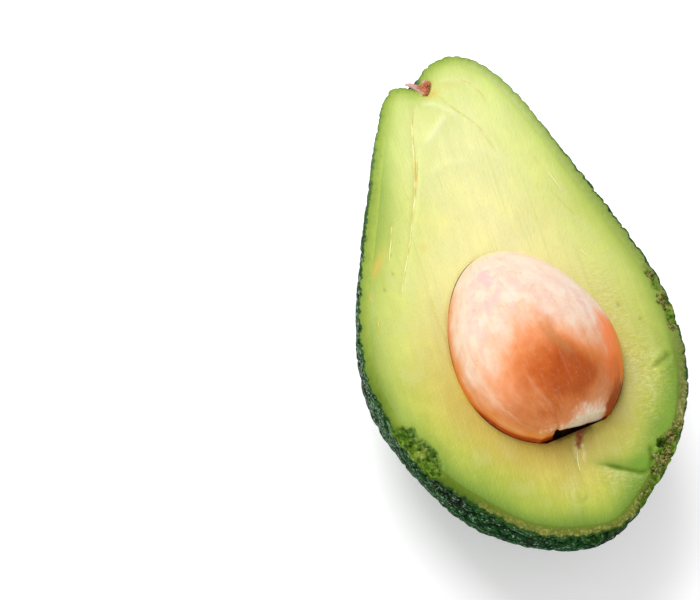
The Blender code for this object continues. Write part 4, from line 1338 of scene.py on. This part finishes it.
def make_crumbs(settings):
    """Corky crumbs along the broken right rim of the peel."""
    peel = settings.avocado_peel
    draw = np.random.default_rng(peel.seed)
    heaps = np.array(CRUMB_HEAPS)
    counts = np.round(heaps[:, 3] / heaps[:, 3].sum() * peel.crumbs).astype(int)
    heaps = np.repeat(heaps, counts, axis=0)
    flat = heaps[:, :2] + draw.normal(size=(len(heaps), 2)) * heaps[:, 2:3]
    border = Fruit(settings.avocado_fruit).rim(400, 0.1 * MM)[0][:, :2]
    inside = inside_loop(flat * MM, border)[0]
    points = np.column_stack([flat, flesh_marks(flat)[0]])[inside] * MM
    tan = np.clip(0.75 * heaps[inside, 4] + draw.normal(size=inside.sum()) * 0.35, 0.0, 1.0)
    growth = Growth("crumbs")
    size = growth.input("Size", peel.crumb_size)
    seed = growth.input("Seed", peel.seed, "NodeSocketInt")
    wobble = growth.node("ShaderNodeTexNoise", {"Scale": 2.2, "Detail": 2.0}, "Color")
    wobble = growth.vector("SCALE", growth.vector("SUBTRACT", wobble, (0.5, 0.5, 0.5)), Scale=1.3)
    scale = growth.random((0.3, 0.3, 0.25), (1.6, 1.1, 0.8), seed)
    shape = growth.node("GeometryNodeMeshIcoSphere", {"Radius": 0.5, "Subdivisions": 2})
    crumbs = growth.node("GeometryNodeInstanceOnPoints", {
        "Points": growth.node("GeometryNodeMeshToPoints", {"Mesh": growth.base}),
        "Instance": growth.node("GeometryNodeSetPosition", {"Geometry": shape, "Offset": wobble}),
        "Rotation": growth.random((0.0, 0.0, 0.0), (6.28, 6.28, 6.28), seed),
        "Scale": growth.vector("SCALE", scale, Scale=size)})
    made = Finish("avocado_crumb")
    tint = made.noise(0.8, 3.0)
    colour = made.layers(
        (0.140, 0.200, 0.024),
        (made.mask("tan"), peel.crumb),
        (tint.rise(0.50, 0.34, 0.8), (0.045, 0.055, 0.010)),
        (tint.rise(0.56, 0.70, 0.7), (0.450, 0.430, 0.180)))
    finish = made.surface(Base_Color=colour, Roughness=0.75, Specular_IOR_Level=0.2)
    add_piece("avocado_crumbs", growth.grow(crumbs, points, [], [], finish, {"tan": tan}), "peel")


def make_specks(settings):
    """Small corky specks scattered over the peel's outside."""
    fruit, peel = Fruit(settings.avocado_fruit), settings.avocado_peel
    directions, quads = ball_quads(SPECK_FACETS, lower_half=True)
    smooth = fruit.surface(directions)
    relief = peel_relief(fruit, peel, smooth)[0]
    points = smooth + outward(smooth, quads) * relief[:, None]
    quads = quads[points[quads][:, :, 2].max(axis=1) < -0.8 * MM]
    quads = quads[points[quads][:, :, 2].min(axis=1) > -fruit.sizes.rest_height + 1.0 * MM]
    growth = Growth("specks")
    density = growth.input("Density", peel.specks / PEEL_AREA)
    size = growth.input("Size", peel.speck_size)
    seed = growth.input("Seed", peel.seed, "NodeSocketInt")
    scatter = {"Mesh": growth.base, "Density": density, "Seed": seed}
    scattered = growth.node("GeometryNodeDistributePointsOnFaces", scatter, "Points")
    specks = growth.node("GeometryNodeInstanceOnPoints", {
        "Points": scattered,
        "Instance": growth.node("GeometryNodeMeshIcoSphere", {"Radius": 0.5, "Subdivisions": 1}),
        "Rotation": scattered.socket.node.outputs["Rotation"],
        "Scale": growth.vector("SCALE", growth.random((0.5, 0.5, 0.25), (1.2, 1.2, 0.4), seed), Scale=size)})
    made = Finish("avocado_speck")
    colour = made.mix(made.noise(4.0, 3.0).rise(0.4, 0.6), peel.speck, (0.24, 0.13, 0.13))
    finish = made.surface(Base_Color=colour, Roughness=0.7, Specular_IOR_Level=0.2)
    add_piece("avocado_specks", growth.grow(specks, points, quads.tolist(), [], finish, {}), "peel")


def make_stage(settings):
    """Floor, soft lights, white surroundings and the camera."""
    stage = settings.avocado_stage
    scene = bpy.context.scene
    scene.view_settings.view_transform = "Standard"
    mesh = bpy.data.meshes.new("floor")
    mesh.from_pydata([(-3, -3, 0), (3, -3, 0), (3, 3, 0), (-3, 3, 0)], [], [(0, 1, 2, 3)])
    mesh.materials.append(Finish("pale_floor").surface(
        Base_Color=stage.floor, Roughness=0.8, Specular_IOR_Level=0.1,
        Emission_Color=(1.0, 1.0, 1.0), Emission_Strength=stage.glow))
    floor = bpy.data.objects.new("floor", mesh)
    scene.collection.objects.link(floor)

    scene.world = bpy.data.worlds.new("surroundings")
    scene.world.use_nodes = True
    background = scene.world.node_tree.nodes["Background"].inputs
    background["Color"].default_value = (1.0, 1.0, 1.0, 1.0)
    background["Strength"].default_value = stage.sky

    for name, power, size, place, target in (
        ("key_light", stage.key, 0.75, (-0.22, 0.68, 0.98), (0.0, 0.02, 0.03)),
        ("side_light", stage.side, 0.08, (-0.36, -0.30, 0.16), (0.0, 0.0, 0.02)),
    ):
        light = bpy.data.lights.new(name, "AREA")
        light.energy, light.size = power, size
        lamp = bpy.data.objects.new(name, light)
        lamp.location = place
        lamp.rotation_mode = "QUATERNION"
        lamp.rotation_quaternion = (Vector(target) - Vector(place)).to_track_quat("-Z", "Y")
        scene.collection.objects.link(lamp)

    camera = bpy.data.cameras.new("camera")
    camera.sensor_width = 36.0
    camera.lens = stage.lens
    camera.clip_start, camera.clip_end = 0.01, 20.0
    eye = bpy.data.objects.new("camera", camera)
    right, up, back = (0.9527, -0.27737, 0.12421), (0.20358, 0.8859, 0.41681), (-0.22565, -0.37181, 0.90047)
    turn = Matrix((right, up, back)).transposed().to_4x4()
    place = Vector((-166.24 * MM, -216.65 * MM, 536.96 * MM)) + Vector(FACE_MIDDLE)
    eye.matrix_world = Matrix.Translation(place) @ turn
    scene.collection.objects.link(eye)
    scene.camera = eye


class AVOCADO_OT_stage(bpy.types.Operator):
    """Adds the floor, the lights and the camera"""

    bl_idname = "avocado.stage"
    bl_label = "Add Stage"

    def execute(self, context):
        make_stage(context.scene)
        return {"FINISHED"}


class AVOCADO_OT_peel(bpy.types.Operator):
    """Adds the pebbled peel"""

    bl_idname = "avocado.peel"
    bl_label = "Add Peel"

    def execute(self, context):
        make_peel(context.scene)
        return {"FINISHED"}


class AVOCADO_OT_flesh(bpy.types.Operator):
    """Adds the flesh with its hollow"""

    bl_idname = "avocado.flesh"
    bl_label = "Add Flesh"

    def execute(self, context):
        make_flesh(context.scene)
        return {"FINISHED"}


class AVOCADO_OT_seed(bpy.types.Operator):
    """Adds the seed"""

    bl_idname = "avocado.seed"
    bl_label = "Add Seed"

    def execute(self, context):
        make_seed(context.scene)
        return {"FINISHED"}


class AVOCADO_OT_stub(bpy.types.Operator):
    """Adds the stub of the stalk"""

    bl_idname = "avocado.stub"
    bl_label = "Add Stalk Stub"

    def execute(self, context):
        make_stub(context.scene)
        return {"FINISHED"}


class AVOCADO_OT_strands(bpy.types.Operator):
    """Adds the strands in the cut face"""

    bl_idname = "avocado.strands"
    bl_label = "Add Strands"

    def execute(self, context):
        make_strands(context.scene)
        return {"FINISHED"}


class AVOCADO_OT_crumbs(bpy.types.Operator):
    """Adds the corky crumbs on the broken rim"""

    bl_idname = "avocado.crumbs"
    bl_label = "Add Crumbs"

    def execute(self, context):
        make_crumbs(context.scene)
        return {"FINISHED"}


class AVOCADO_OT_specks(bpy.types.Operator):
    """Adds the corky specks on the peel"""

    bl_idname = "avocado.specks"
    bl_label = "Add Specks"

    def execute(self, context):
        make_specks(context.scene)
        return {"FINISHED"}


OPERATORS = (
    AVOCADO_OT_stage,
    AVOCADO_OT_peel,
    AVOCADO_OT_flesh,
    AVOCADO_OT_seed,
    AVOCADO_OT_stub,
    AVOCADO_OT_strands,
    AVOCADO_OT_crumbs,
    AVOCADO_OT_specks,
)


class AVOCADO_PT_panel(bpy.types.Panel):
    """The avocado's pieces and their settings"""

    bl_label = "Avocado Half"
    bl_space_type = "VIEW_3D"
    bl_region_type = "UI"
    bl_category = "Avocado"

    def draw(self, context):
        for operator in OPERATORS:
            self.layout.operator(operator.bl_idname)
        for name in SETTINGS:
            group = getattr(context.scene, name)
            box = self.layout.box()
            box.label(text=name.replace("_", " ").title())
            for key in group.__annotations__:
                box.prop(group, key)


SETTINGS = {
    "avocado_fruit": AvocadoFruit,
    "avocado_peel": AvocadoPeel,
    "avocado_flesh": AvocadoFlesh,
    "avocado_seed": AvocadoSeed,
    "avocado_stub": AvocadoStub,
    "avocado_stage": AvocadoStage,
}
CLASSES = (*SETTINGS.values(), *OPERATORS, AVOCADO_PT_panel)


def register():
    for cls in CLASSES:
        bpy.utils.register_class(cls)
    for name, group in SETTINGS.items():
        setattr(bpy.types.Scene, name, PointerProperty(type=group))


def unregister():
    for name in SETTINGS:
        delattr(bpy.types.Scene, name)
    for cls in reversed(CLASSES):
        bpy.utils.unregister_class(cls)


def main():
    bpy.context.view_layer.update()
    register()
    bpy.ops.avocado.stage()
    bpy.ops.avocado.peel()
    bpy.ops.avocado.flesh()
    bpy.ops.avocado.seed()
    bpy.ops.avocado.stub()
    bpy.ops.avocado.strands()
    bpy.ops.avocado.crumbs()
    bpy.ops.avocado.specks()


if __name__ == "__main__":
    main()
